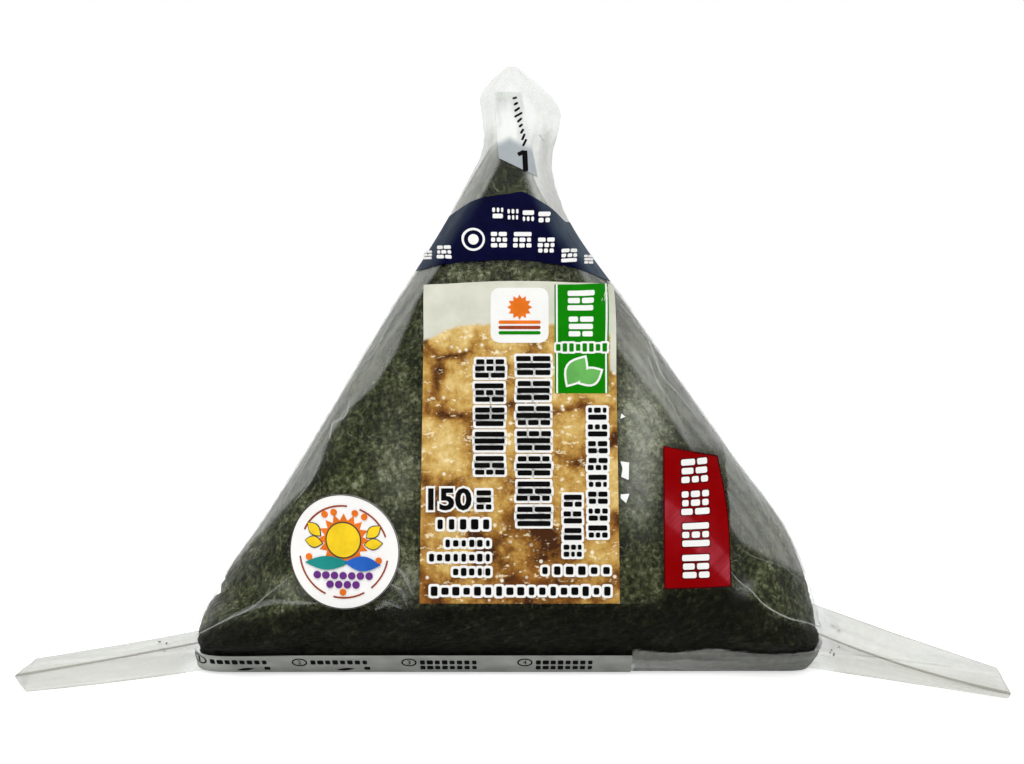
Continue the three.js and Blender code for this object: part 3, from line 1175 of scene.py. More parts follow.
@dataclass
class SeaweedCrumbs:
    """Crumbs of seaweed caught in the roots of the film ears, scattered by a Geometry Nodes tree."""

    count: int = 7
    size: float = 0.34
    patch_area: float = 3.2
    seed: int = 51
    roots: tuple = (((52.4, -2.6, 4.9), 0.8), ((51.8, -4.4, 2.2), 0.8), ((-56.0, -3.4, 2.5), 0.9))

    def build(self) -> Piece:
        """Makes the crumbs of both sides as one piece."""
        turn = np.arange(5) * TAU / 5
        rim = np.stack([np.cos(turn), 0.7 * np.sin(turn), 0.12 * np.cos(3 * turn)], axis=1)
        ring = np.stack([rim * 0.8 - (0, 0, 0.2), rim + (0, 0, 0.15)])
        flake = make_piece("one_flake", *ring_body(ring * self.size * 1000), smooth=False)
        corners = np.array([(-1, 0, -1), (1, 0, -1), (1, 0, 1), (-1, 0, 1)])
        points = np.concatenate([middle + corners * reach for middle, reach in self.roots])
        ground = make_piece("crumb_ground", points, np.arange(len(points)).reshape(-1, 4))
        sketch = TreeSketch("scatter_crumbs", {
            "Crumbs per patch": self.count, "Smallest": 0.35 * MM, "Largest": 1.1 * MM,
        })
        density = sketch.add("ShaderNodeMath", {
            0: sketch.given["Crumbs per patch"], 1: self.patch_area * MM * MM,
        }, operation="DIVIDE")
        spread = sketch.spread(density, self.seed)
        scatter = sketch.copies(flake, {
            "Points": spread.outputs["Points"],
            "Rotation": sketch.random((0.0, 0.0, 0.0), (TAU, TAU, TAU), self.seed + 1, "FLOAT_VECTOR"),
            "Scale": sketch.random(sketch.given["Smallest"], sketch.given["Largest"], self.seed + 2),
        })
        sketch.finish(scatter, CRUMBS)
        return place(sketch.grow("seaweed_crumbs", ground, ground, flake), "film_pack")


@dataclass
class Row:
    """Like pieces laid flat in a row by a Geometry Nodes tree, each a little smaller or larger."""

    count: int
    pitch: float
    narrowest: float
    heights: Pair
    axis: int
    seed: int

    def lay(self, name: str, one: Piece, finish: Finish) -> Piece:
        """Lays the row from the origin.

        Args:
            name: the row's name.
            one: the piece that repeats, which is removed afterwards.
            finish: the row's finish.

        Returns:
            The row, a plain mesh.
        """
        dot = make_piece("row_start", np.zeros((1, 3)), [])
        sketch = TreeSketch("lay_" + name, {
            "Count": self.count, "Pitch": self.pitch * MM, "Narrowest": self.narrowest,
        })
        step = sketch.add("ShaderNodeCombineXYZ", {self.axis: sketch.given["Pitch"]})
        line = sketch.add("GeometryNodeMeshLine", {"Count": sketch.given["Count"], "Offset": step})
        size = sketch.add("ShaderNodeCombineXYZ", {
            0: sketch.random(sketch.given["Narrowest"], 1.0, self.seed),
            1: sketch.random(*self.heights, self.seed + 1), 2: 1.0,
        })
        row = sketch.copies(one, {"Points": line, "Scale": size})
        sketch.finish(row, finish)
        return sketch.grow(name, dot, dot, one)


# The film


@dataclass
class BackSeam:
    """The film's long seam up the back: a flat lap with crimped ribs laid by a Geometry Nodes tree."""

    form: PackForm
    bottom: float = 5.0
    top: float = 79.0
    half_width: float = 3.0
    lift: float = 0.34
    pitch: float = 1.1

    def on_back(self, x: Array, z: Array, lift: Array | float) -> Array:
        """Finds points that stand off the back face, mirrored from the front's."""
        return self.form.on_front(x, z, lift) * (1, -1, 1)

    def build(self) -> None:
        """Makes the lap and its ribs."""
        z, x = np.meshgrid(np.linspace(self.bottom, self.top, 120), np.linspace(1, -1, 9), indexing="ij")
        x = x * self.half_width * self.narrowing(z)
        low, high = (self.on_back(x, z, self.lift + step) for step in (-0.06, 0.05))
        lap = make_piece("back_seam_lap", *grid_skin(low, high))
        haze = 0.22 + 0.1 * Ripples(55, 2, 8)(x * 2, z * 0.4)
        complete(lap, FOLD_FILM, "film_pack", haze=np.tile(haze.ravel(), 2), gloss=1)
        self.ribs()

    def narrowing(self, z: Array) -> Array:
        """Gives the seam's width at each height, as a share of its full width."""
        return 0.55 + 0.45 * ease((self.top - z) / 16)

    def ribs(self) -> Piece:
        """Makes the ribs: laid flat by the tree, then bent onto the back."""
        across, up = np.array([-1, 1, 1, -1]), np.array([-1, -1, 1, 1])
        one = make_piece("one_rib", *ring_body(np.stack([
            np.column_stack([across * 0.5, up * 0.16, across * 0]),
            np.column_stack([across * 0.49, up * 0.08, across * across]),
        ])), smooth=False)
        count = int((self.top - self.bottom - 3) / self.pitch)
        row = Row(count, self.pitch, narrowest=0.86, heights=(0.8, 1.2), axis=1, seed=3)
        ribs = row.lay("back_seam_ribs", one, FOLD_FILM)
        flat = vertices(ribs)
        z = self.bottom + 1.5 + flat[:, 1]
        wide = 2 * self.half_width * self.narrowing(z) - 0.6
        bent = self.on_back(-flat[:, 0] * wide, z, self.lift + 0.03 + 0.16 * flat[:, 2])
        ribs.data.vertices.foreach_set("co", (bent * MM).ravel())
        return complete(ribs, FOLD_FILM, "film_pack", haze=0.3, gloss=1)


@dataclass
class FilmShell:
    """The clear film round the body, with the flat fin at its top."""

    form: PackForm
    lift: float = 0.2
    under_print: float = 0.29
    fin_from: float = 82.0
    strip_end: float = 18.8
    strip_top: float = 4.3
    front_columns: int = 230
    back_columns: int = 90
    folds_seed: int = 31

    def rings(self) -> tuple[Array, Array, Array, Array]:
        """Lays level sections through the film. Returns its points and where each lies."""
        spans = (0, 20, 0.4), (20, 82, 0.55), (82, self.form.height, 0.42)
        z, turns = sections(self.front_columns, self.back_columns, *spans)
        share = np.cos(turns)
        x = share * self.form.half_width(share, z)
        depth = self.form.depth_at_share(np.abs(share), z)
        front = np.sin(turns) < 0
        points = np.stack([x, np.where(front, -depth, depth), z], axis=-1)
        wave = Ripples(self.folds_seed, 3.0, 11.0, 18)(x, z)
        crisp = np.abs(Ripples(self.folds_seed + 1, 2.0, 6.0, 12)(x, z))
        rise = self.lift + 0.05 * wave
        rise += 0.22 * (1 - np.minimum(crisp * 2.2, 1)) * self.loose(x, z)
        rise = np.where(self.covered(x, z) & front, np.minimum(rise, self.under_print), rise)
        edge = self.form.margin(x, z)
        rise *= ease(z / 1.2) * (0.45 + 0.55 * ease(edge / 2))
        points = points + outward(points) * rise[..., None]
        sway = 0.55 * Ripples(self.folds_seed + 2, 6, 14)(x, z) * ease((z - self.fin_from) / 6)
        points[..., 1] += sway
        return points, x, z, front

    def covered(self, x: Array, z: Array) -> Array:
        """Says which places of the front lie under a label, a sticker or a print."""
        label = (np.abs(x - 0.9) < 16.2) & (z > 12) & (z < 61.5)
        sticker = np.hypot(x + 25.2, z - 20.6) < 9.5
        band = (z > 60) & (z < 76)
        panel = (x > 21.5) & (x < 34.5) & (z > 14) & (z < 37.5)
        strip = (x < self.strip_end + 0.8) & (z < 4.6)
        tab = (np.abs(x - 0.4) < 4.5) & (z > 75)
        return label | sticker | band | panel | strip | tab

    def loose(self, x: Array, z: Array) -> Array:
        """Says how loosely the film lies: most near the outline, the corners and the fin."""
        edge = self.form.margin(x, z)
        return np.clip(within(edge, 1.0, 7.0) + within(z, 7, 6) * 0.6 + ease((z - 78) / 5), 0.12, 1)

    def haze(self, x: Array, z: Array, front: Array) -> Array:
        """Says how hazy the film is: clear where it clings, milky where it stands off, with painted glare
        and painted highlights added on the face.
        """
        left, right = x + self.form.left(z), self.form.right(z) - x
        left_reach = Profile([
            (14, 0.2), (20, 1.2), (26.5, 2.8), (31.4, 4.2), (34.3, 3.6), (37, 2.8), (41.9, 3.6), (45.3, 5.0),
            (49.6, 5.2), (53.7, 4.5), (61, 3.4), (72, 3.4), (84, 3.0),
        ])(z)
        right_reach = Profile([
            (10, 9.5), (24, 9.0), (30, 8.0), (36, 6.3), (43, 5.8), (50.7, 6.5), (58, 4.8), (66, 3.4),
            (84, 3.4),
        ])(z)
        streak = Ripples(41, 0.7, 2.4, 9)
        lines_left = 0.9 + 0.24 * streak(left, z * 0.06)
        lines_right = 0.9 + 0.24 * streak(right + 9, z * 0.06)
        crease = 21.6 - (x - 33.7) * 0.6
        above = ease((z - crease) / 1.1) * (x > 33) + ease((z - 34) / 3) * (x <= 33)
        # The side strips stand partly for painted reflection, where the film turns to a grazing angle.
        on_left = (x < 0) * within(left, left_reach, 0.9) * ease((z - 13.5) / 5)
        on_right = (x > 0) * within(right, right_reach, 1.1) * above
        value = 0.34 * on_left * lines_left + 0.27 * on_right * lines_right
        # Painted glare: milky patches beside the label and by the left fold stand in for reflections.
        for across, up, wide, tall, level in (
            (19.6, 42, 3, 9, 0.23), (19, 31, 2.4, 6, 0.2), (-17.4, 33, 3, 8, 0.06),
            (24, 40, 4, 3, 0.08), (-16.6, 16, 3, 3.4, 0.06), (-33, 14.6, 4, 1.6, 0.09),
        ):
            value += level * hump(x, z, across, up, wide, tall) * lines_right
        # Painted highlights near the top of the right fold and along the right edge; the empty foot film is
        # veiled so that its painted shaded tone shows.
        value += 0.2 * hump(x, z, 35.4, 14.8, 1.4, 1.0)
        value += self.shadow(x, z) * (0.74 + 0.22 * Ripples(43, 0.7, 2.4)(z, x * 0.05))
        value += 0.22 * np.exp(-((right - 1.3) / 1.5) ** 2) * within(np.abs(z - 33), 3, 9) * (x > 0)
        upper = ease((z - 82.5) / 4)
        fin = ease((z - 80.3) / 4) * (0.36 - 0.26 * upper + 0.05 * Ripples(44, 2, 9)(x * 2.2, z * 0.6))
        fin *= 1 - 0.3 * upper * within(x, -2, 3)
        fin *= 1 - 0.5 * upper * within(np.minimum(left, right), 0.2, 1.8)
        side = (x > 0) * ease((z - 60) / 8) * within(right, 3.6, 1.6) * (0.35 - 0.27 * upper)
        side_left = (x < 0) * ease((z - 68) / 5) * within(left, 2.4, 1.0) * (0.17 - 0.12 * upper)
        value += fin + side + side_left
        edge = self.form.margin(x, z)
        quiet = (0.25 - 0.24 * upper) * within(edge, 1.5, 4) + 0.04
        turned = within(edge, 0.4, 4.5) * within(z, 72, 8)
        return np.clip(np.where(front, value, value * turned + quiet * (1 - turned)), 0, 0.92)

    def shadow(self, x: Array, z: Array) -> Array:
        """Says which film lies empty and in shadow: the foot's, right of the printed strip."""
        return (x > self.strip_end) * within(z, self.strip_top + 0.35 * np.sin(x * 0.45), 0.35)

    def gloss(self, x: Array, z: Array) -> Array:
        """Says how strongly the film shines: little in the undercut foot and the fin, fully on the face."""
        return (1 - 0.9 * self.form.foot(x, z)) * (1 - 0.65 * ease((z - 81) / 4))

    def build(self) -> Piece:
        """Makes the film shell."""
        rings, x, z, front = self.rings()
        return complete(
            make_piece("film_shell", *ring_body(rings)), FILM, "film_pack", "film_pack",
            haze=np.append(self.haze(x, z, front), [0.3, 0.5]),
            gloss=np.append(self.gloss(x, z), [0.3, 1.0]),
            tint=np.append(self.shadow(x, z) * front, [1.0, 0.0]),
        )


class Side(Enum):
    """The side of the pack that a piece is on, as seen from the front."""

    LEFT = "left"
    RIGHT = "right"


EAR_EDGES = {
    Side.RIGHT: {
        "heel": [(44, 5, 0.25), (60, -2, 0.25), (76.5, -10.7, 0.25)],
        "crest": [(44, 0.3, 10.6), (60, -4.2, 5.2), (76.6, -11.2, 0.9)],
        "ridge": [(44.5, -1.5, 6.3), (60, -12, 1.0), (73, -23.2, 0.9)],
        "floor": [(44, -6, 0.25), (60, -15.4, 0.25), (72.8, -23.5, 0.25)],
    },
    Side.LEFT: {
        "floor": [(-45, -7, 0.25), (-60, -16, 0.25), (-72.6, -20.1, 0.25)],
        "ridge": [(-46, 0, 3.2), (-61, -7.5, 1.8), (-76.1, -14.4, 0.9)],
        "crest": [(-45, 0.5, 5.3), (-61, -2.2, 2.7), (-77.2, -5.2, 0.9)],
        "heel": [(-45, 5, 0.25), (-61, 0, 0.25), (-77.1, -4.7, 0.25)],
    },
}


@dataclass
class FilmEar:
    """An ear: the film's tube end, pressed flat and laid out from a base corner.

    Each of its edges runs from a root past a control point to a tip, as the frame's solid has them.
    """

    side: Side
    steps: int = 90
    per_edge: int = 16

    def edge(self, name: str, share: Array) -> Array:
        """Gives points along an edge, for shares from its root to its tip."""
        root, control, tip = (np.array(point, float) for point in EAR_EDGES[self.side][name])
        t = share[:, None]
        return root * (1 - t) ** 2 + control * 2 * t * (1 - t) + tip * t * t

    def rings(self) -> tuple[Array, Array, Array]:
        """Lays sections across the ear. Returns its points, and each one's face and place along."""
        share = np.linspace(0, 1, self.steps + 1)
        pulled = {"heel": 0.98, "crest": 0.965, "ridge": 1.0, "floor": 0.985}
        lines = [self.edge(name, share * pulled[name]) for name in EAR_EDGES[self.side]]
        steps = np.arange(self.per_edge) / self.per_edge
        rings = np.stack([
            start * (1 - s) + end * s for start, end in zip(lines, lines[1:] + lines[:1]) for s in steps
        ], axis=1)
        face, along = np.meshgrid(np.arange(rings.shape[1]) / self.per_edge, share)
        wave = Ripples(61 if self.side is Side.RIGHT else 62, 0.16, 0.7, 16)(along, face * 0.35)
        long = Ripples(63, 0.4, 1.4, 10)(along * 0.3, face * 1.3)
        swell = (0.16 * wave + 0.3 * long) * np.minimum(1, face % 1 * 4 + 0.25)
        taper = ease(along * 5) * (0.35 + 0.65 * ease((1 - along) * 3))
        taper *= np.minimum(1, np.abs(face - (3 if self.side is Side.RIGHT else 0)) * 1.4)
        rings = rings + outward(rings) * (swell * taper)[..., None]
        rings[..., 2] = np.maximum(rings[..., 2], 0.12)
        return rings, face, along

    def build(self) -> None:
        """Makes the ear and its seam."""
        rings, face, along = self.rings()
        ear = make_piece(f"film_ear_{self.side.value}", *ring_body(rings))
        right = self.side is Side.RIGHT
        top = face < 2 if right else (face >= 1) & (face < 3)
        haze = np.where(top, 0.66, 0.46) + 0.05 * Ripples(64, 0.15, 0.7)(along * 0.5, face)
        haze -= 0.3 * within(along, 0.16, 0.12)
        ridge = 2 if right else 1
        # Painted shade: the lower face, the ridge line and the root grey as they turn from the light, with a
        # faint random tone.
        tint = np.where(top, 0.03, 0.52 if right else 0.34) + 0.3 * np.exp(-((face - ridge) / 0.16) ** 2)
        tint += 0.1 * Ripples(65, 0.2, 0.8)(along * 0.4, face * 0.6) + 0.12 * within(along, 0.1, 0.25)
        complete(
            ear, EAR_FILM, "film_pack", "film_pack", gloss=1,
            tint=np.append(np.clip(tint, 0, 1), [0.2, 0.3]),
            haze=np.append(np.clip(haze, 0.1, 0.95), [0.3, 0.8]),
        )
        self.seam()

    def seam(self) -> None:
        """Makes the fold line that runs along the ear's ridge."""
        share = np.linspace(0.12, 0.99, 60)
        line = self.edge("ridge", share)
        turn = np.arange(6) * TAU / 6
        reach = 0.13 + 0.1 * share
        around = np.stack([np.zeros(6), np.cos(turn), np.sin(turn)], axis=1)
        if self.side is Side.LEFT:
            around = around * (1, -1, 1)
        rings = line[:, None, :] + around[None] * reach[:, None, None] + np.array([0, -0.02, 0.08])
        seam = make_piece(f"ear_seam_{self.side.value}", *ring_body(rings))
        complete(seam, SEAM_FILM, "film_pack", haze=0.5, gloss=1)


@dataclass
class FilmFolds:
    """Crisp folded edges of the film, each a low ridge along a path on the front face, whitened partly by a
    painted highlight along its crest.
    """

    form: PackForm
    lift: float = 0.24
    paths: tuple = (
        ((
            (32.9, 17.5), (34.2, 15.9), (36.1, 14.4), (38.2, 12.1), (42.1, 9.8), (45.1, 8.7), (49.6, 6.2),
        ), 0.25, 0.32),
        ((
            (-48.9, 6.3), (-46.2, 7.9), (-44.1, 9.1), (-39.6, 11.4), (-37.6, 13.1), (-35.7, 14.7),
            (-32.7, 17.1),
        ), 0.26, 0.24),
        (((-29, 12.9), (-35.7, 12.7), (-39.6, 11.4), (-43.5, 9.5)), 0.9, 0.08),
        (((-17.6, 18.8), (-16, 17), (-14.6, 14.2)), 1.1, 0.07),
        (((-20.5, 12.2), (-18.4, 13.2), (-16.4, 12.4)), 1.1, 0.06),
        (((-18.4, 16), (-16.6, 15), (-15.6, 12.8)), 1, 0.06),
        (((-28, 36.8), (-27.7, 39), (-25.8, 40.2), (-25.1, 41.4), (-24.9, 43.2)), 0.32, 0.4),
        (((18.7, 54.9), (21.2, 51.7), (22.8, 46.9), (25.2, 44.1), (27.3, 41.6), (29.6, 38.8)), 0.34, 0.32),
        (((16.6, 57.6), (20.2, 53.6), (24.6, 47), (29.3, 40.6), (32.6, 36.4)), 0.3, 0.28),
        (((20.6, 50.3), (22, 46), (24.4, 42.2), (26, 38.6)), 0.26, 0.22),
        (((34.2, 33.6), (36.6, 30.4), (38.6, 27), (40.2, 23.4)), 0.3, 0.22),
        ((
            (33.7, 21.7), (35, 20.5), (36.6, 19.3), (39.4, 18.1), (41.9, 17), (44.7, 14.6), (46.7, 13.1),
        ), 0.2, 0.1),
        (((-33.2, 27.4), (-30.6, 30.8), (-29.4, 33.6)), 0.28, 0.2),
        (((-24, 47.6), (-21.6, 49.6), (-19.4, 53.6), (-17.6, 57)), 0.28, 0.22),
        (((-36.4, 25.2), (-33.4, 30.4), (-30.2, 36), (-26.6, 43)), 0.24, 0.2),
        (((4.3, 84.2), (4.9, 83.1)), 0.3, 0.9),
    )
    facets: tuple = (
        ((16.4, 31.8), (17.5, 31.3), (17.6, 33.9), (16.3, 34.1), (16.6, 33)),
        ((16.3, 28.6), (17.1, 27.9), (17.6, 29.3), (16.3, 29.2)),
        ((16.3, 40.4), (17.1, 40.7), (16.5, 41.2)),
    )

    def build(self) -> Piece:
        """Makes all the folds as one piece."""
        points, faces, haze = [], [], []
        for path, width, strength in self.paths:
            line = smooth_path(path, 12 * len(path))
            run = np.gradient(line, axis=0)
            run /= np.linalg.norm(run, axis=1, keepdims=True)
            side = np.stack([-run[:, 1], run[:, 0]], axis=1)
            taper = np.sqrt(np.sin(np.linspace(0.02, 0.98, len(line)) * math.pi))
            half = (width / 2 * taper)[:, None]
            left, right = line + side * half, line - side * half
            foot = self.lift - 0.06
            rows = [
                self.form.on_front(*left.T, foot),
                self.form.on_front(*right.T, foot),
                self.form.on_front(*line.T, self.lift + 0.45 * width * taper),
            ]
            first = len(haze)
            points.append(np.stack(rows, axis=1).reshape(-1, 3))
            # Each fold's whiteness is film whitening and a painted highlight along its crest.
            haze += np.repeat(strength * (1 - 0.55 * np.linspace(0, 1, len(line))), 3).tolist()
            for i in range(len(line) - 1):
                a, b = first + 3 * i, first + 3 * (i + 1)
                faces += [(a, a + 2, b + 2, b), (a + 2, a + 1, b + 1, b + 2), (a + 1, a, b, b + 1)]
            last = first + 3 * (len(line) - 1)
            faces += [(first, first + 1, first + 2), (last, last + 2, last + 1)]
        self.glints()
        folds = make_piece("film_folds", np.concatenate(points), faces)
        return complete(folds, FOLD_FILM, "film_pack", haze=haze, gloss=1)

    def glints(self) -> None:
        """Lays small white shapes as painted glints where the film beside the label would mirror the light.
        """
        sheet = Print(self.form, self.lift - 0.04, self.lift + 0.06)
        sheet.shapes(np.array(corners) for corners in self.facets)
        sheet.piece("film_glints", GLINT, "film_pack")


# What lies on the film

SHEET_LOW, SHEET_HIGH = 0.33, 0.45
PRINT_LOW = 0.42


def skin_patch(
    form: PackForm, name: str, columns: int, rows: int, where: Callable[[Array, Array], Spots]
) -> tuple[Piece, Array, Array]:
    """Makes a thin closed sheet that follows the front face, for every label and print.

    Args:
        form: the form that the sheet lies on.
        name: the piece's name.
        columns: how many squares it has across.
        rows: how many squares it has upwards.
        where: gives x and z for two shares, left to right and bottom to top.

    Returns:
        The piece, and the x and z of its vertices.
    """
    t, s = np.meshgrid(np.linspace(0, 1, rows + 1), np.linspace(0, 1, columns + 1), indexing="ij")
    x, z = where(s, t)
    points, faces = grid_skin(form.on_front(x, z, SHEET_LOW), form.on_front(x, z, SHEET_HIGH))
    piece = make_piece(name, points, faces, smooth=False)
    return piece, np.tile(x.ravel(), 2), np.tile(z.ravel(), 2)


@dataclass
class Printed:
    """A sheet on the front face that carries prints, each layer a little over the one before."""

    form: PackForm
    lift: float = 0.45
    slot: ClassVar[str] = ""

    def layer(self, number: int) -> Print:
        """Starts a print in the layer of this number."""
        return Print(self.form, self.lift - 0.03, self.lift + 0.04 + 0.04 * number)

    def press(self, name: str, ink: Finish, number: int, *outlines: Array) -> None:
        """Prints outlines as one piece.

        Args:
            name: the piece's name.
            ink: its finish.
            number: the number of its layer.
            outlines: its anticlockwise outlines.
        """
        sheet = self.layer(number)
        sheet.shapes(outlines)
        sheet.piece(name, ink, self.slot)


@dataclass
class FrontLabel(Printed):
    """The upright label: a glazed picture field with a badge, a tile and columns of marks."""

    slot: ClassVar[str] = "front_label"
    bottom: float = 13.2
    top: float = 60.4
    bow: float = 0.7
    left: Pair = (-13.8, -13.3)
    right: Pair = (16.1, 15.6)
    seed: int = 81

    def build(self) -> None:
        """Makes the label and everything printed on it."""
        sheet, x, z = skin_patch(self.form, "front_label_sheet", 110, 170, self.where)
        swell, cream = self.picture(x, z)
        complete(sheet, GLAZE, "front_label", "front_label", swell=swell, cream=cream)
        self.badge()
        self.tile()
        self.columns()

    def where(self, s: Array, t: Array) -> Spots:
        """Gives the label's places: its sides lean a little and its top edge is bowed."""
        top = self.top + self.bow * np.sin(math.pi * s)
        return between(between(*self.left, t), between(*self.right, t), s), between(self.bottom, top, t)

    def picture(self, x: Array, z: Array) -> Spots:
        """Says how far each place swells out of the crevices, and where the field is cream."""
        draw = np.random.default_rng(self.seed + 5)
        bent_x = x + 0.7 * Ripples(83, 3, 9)(x, z)
        bent_z = z + 0.7 * Ripples(84, 3, 9)(x, z)
        near, tone = np.full((2, len(x)), 9.0), np.zeros(len(x))
        for row in range(6):
            for column in range(4):
                across = -16 + 11 * column + 5.5 * (row % 2) + draw.uniform(-2.4, 2.4)
                up = 11 + 8.8 * row + draw.uniform(-2, 2)
                reach = np.hypot(bent_x - across, bent_z - up) / draw.uniform(3.9, 6.4)
                tone = np.where(reach < near[0], draw.uniform(-0.14, 0.14), tone)
                near[1] = np.minimum(near[1], np.maximum(near[0], reach))
                near[0] = np.minimum(near[0], reach)
        crevice = within(near[1] - near[0], 0.02, 0.6) * np.clip(0.45 + 1.1 * Ripples(86, 5, 12)(x, z), 0, 1)
        sunk = 0.45 * hump(x, z, 4, 25, 4, 6)
        swell = 0.86 + tone - 0.26 * near[0] - 0.42 * crevice - sunk - 0.16 * within(z, 22, 14)
        top = Profile([
            (-14, 51.3), (-12, 52.4), (-9, 53.8), (-6, 54.3), (0, 54.0), (7, 54.4), (14.5, 53.8),
            (14.9, 47.4), (15.6, 47),
        ])(x)
        return swell, ease((z - top - 0.25 * Ripples(85, 1.5, 5)(x, z)) / 0.5)

    def badge(self) -> None:
        """Prints the green badge at the upper right: two marks, a row of dashes and two leaves."""
        middle, low, high = 10.5, 44.2, 60.55
        centre, tall = (low + high) / 2, high - low
        self.press("badge_field", GREEN_INK, 0, rounded_bar(middle, centre, 8.1, tall, 0.1))
        white = [rounded_bar(middle + side * 3.7, centre, 0.26, tall, 0.1) for side in (-1, 1)]
        draw = np.random.default_rng(self.seed)
        for level in (58.1, 54.2):
            white += brick_marks(draw, middle - 0.1, level, 4.3, 3.3)
        row = [rounded_bar(middle - 3.5 + i, 51.05, 0.66, 1.25 if i % 3 else 1.0, 0.15) for i in range(8)]
        white += [grown(dash, 0.3) for dash in row]
        self.press("badge_row", GREEN_INK, 2, *row)
        leaves = []
        for across, up, length, width, tilt in ((-0.8, 47.5, 4.8, 2.9, 1.0), (1.3, 46.7, 3.6, 2.3, 0.5)):
            white.append(leaf(middle + across, up, length + 0.9, width + 0.7, tilt))
            leaves.append(leaf(middle + across, up, length, width, tilt))
        self.press("badge_marks", WHITE_INK, 1, *white)
        self.press("badge_leaves", PALE_GREEN_INK, 2, *leaves)

    def tile(self) -> None:
        """Prints the white tile at the top with a plain sun over three coloured stripes."""
        x, z = 1.15, 55.8
        self.press("tile_field", WHITE_INK, 1, rounded_bar(x, z + 0.1, 8.8, 8.3, 1.3))
        self.press("tile_sun", ORANGE_INK, 2, sunburst(x, z + 1.3, 1.9, 1.35, 12))
        stripes = ((ORANGE_INK, -0.95), (RUST_INK, -1.75), (GREEN_INK, -2.55))
        for number, (ink, down) in enumerate(stripes, 1):
            self.press(f"tile_stripe_{number}", ink, 2, rounded_bar(x, z + down, 6.4, 0.5, 0.25))

    def columns(self) -> None:
        """Prints the columns and rows of black marks, each with its white surround."""
        draw = np.random.default_rng(self.seed + 1)
        bars: Shapes = []
        for x, top, bottom, count, wide, rows in (
            (-3.35, 49.7, 31.7, 5, 4.9, 3), (3.25, 50.2, 24.1, 7, 5.6, 3),
            (12.85, 42.4, 22.5, 8, 3.3, 2), (9.1, 29.5, 19.7, 4, 3.1, 2),
        ):
            pitch = (top - bottom) / count
            for i in range(count):
                bars += brick_marks(draw, x, top - pitch * (i + 0.5), wide, pitch * 0.84, rows)
        for left, right, z, tall, wide in (
            (-11.6, -3.0, 24.8, 1.9, 1.25), (-10.2, -3.0, 22.0, 1.2, 0.85), (-12.6, -3.0, 19.9, 1.2, 0.85),
            (-9.0, -3.0, 17.8, 1.2, 0.85), (4.0, 15.0, 18.0, 1.4, 1.2), (-12.4, 15.0, 15.0, 1.4, 1.15),
        ):
            count = max(int((right - left) / (wide * 1.35)), 1)
            pitch = (right - left) / count
            for i in range(count):
                height = tall * draw.uniform(0.7, 1.0)
                width = wide * draw.uniform(0.6, 1.0)
                bars.append(rounded_bar(left + pitch * (i + 0.5), z, width, height, 0.25))
        bars += brick_marks(draw, -4.2, 28.4, 2.7, 3.1)
        surround, marks = self.layer(2), self.layer(3)
        surround.shapes(grown(bar, 0.36) for bar in bars)
        marks.shapes(bars)
        surround.numeral("150", -9.3, 28.5, 7.2, 4.0, 0.09)
        marks.numeral("150", -9.3, 28.5, 6.5, 3.3, 0.035)
        surround.piece("label_surround", WHITE_INK, "front_label")
        marks.piece("label_marks", BLACK_INK, "front_label")


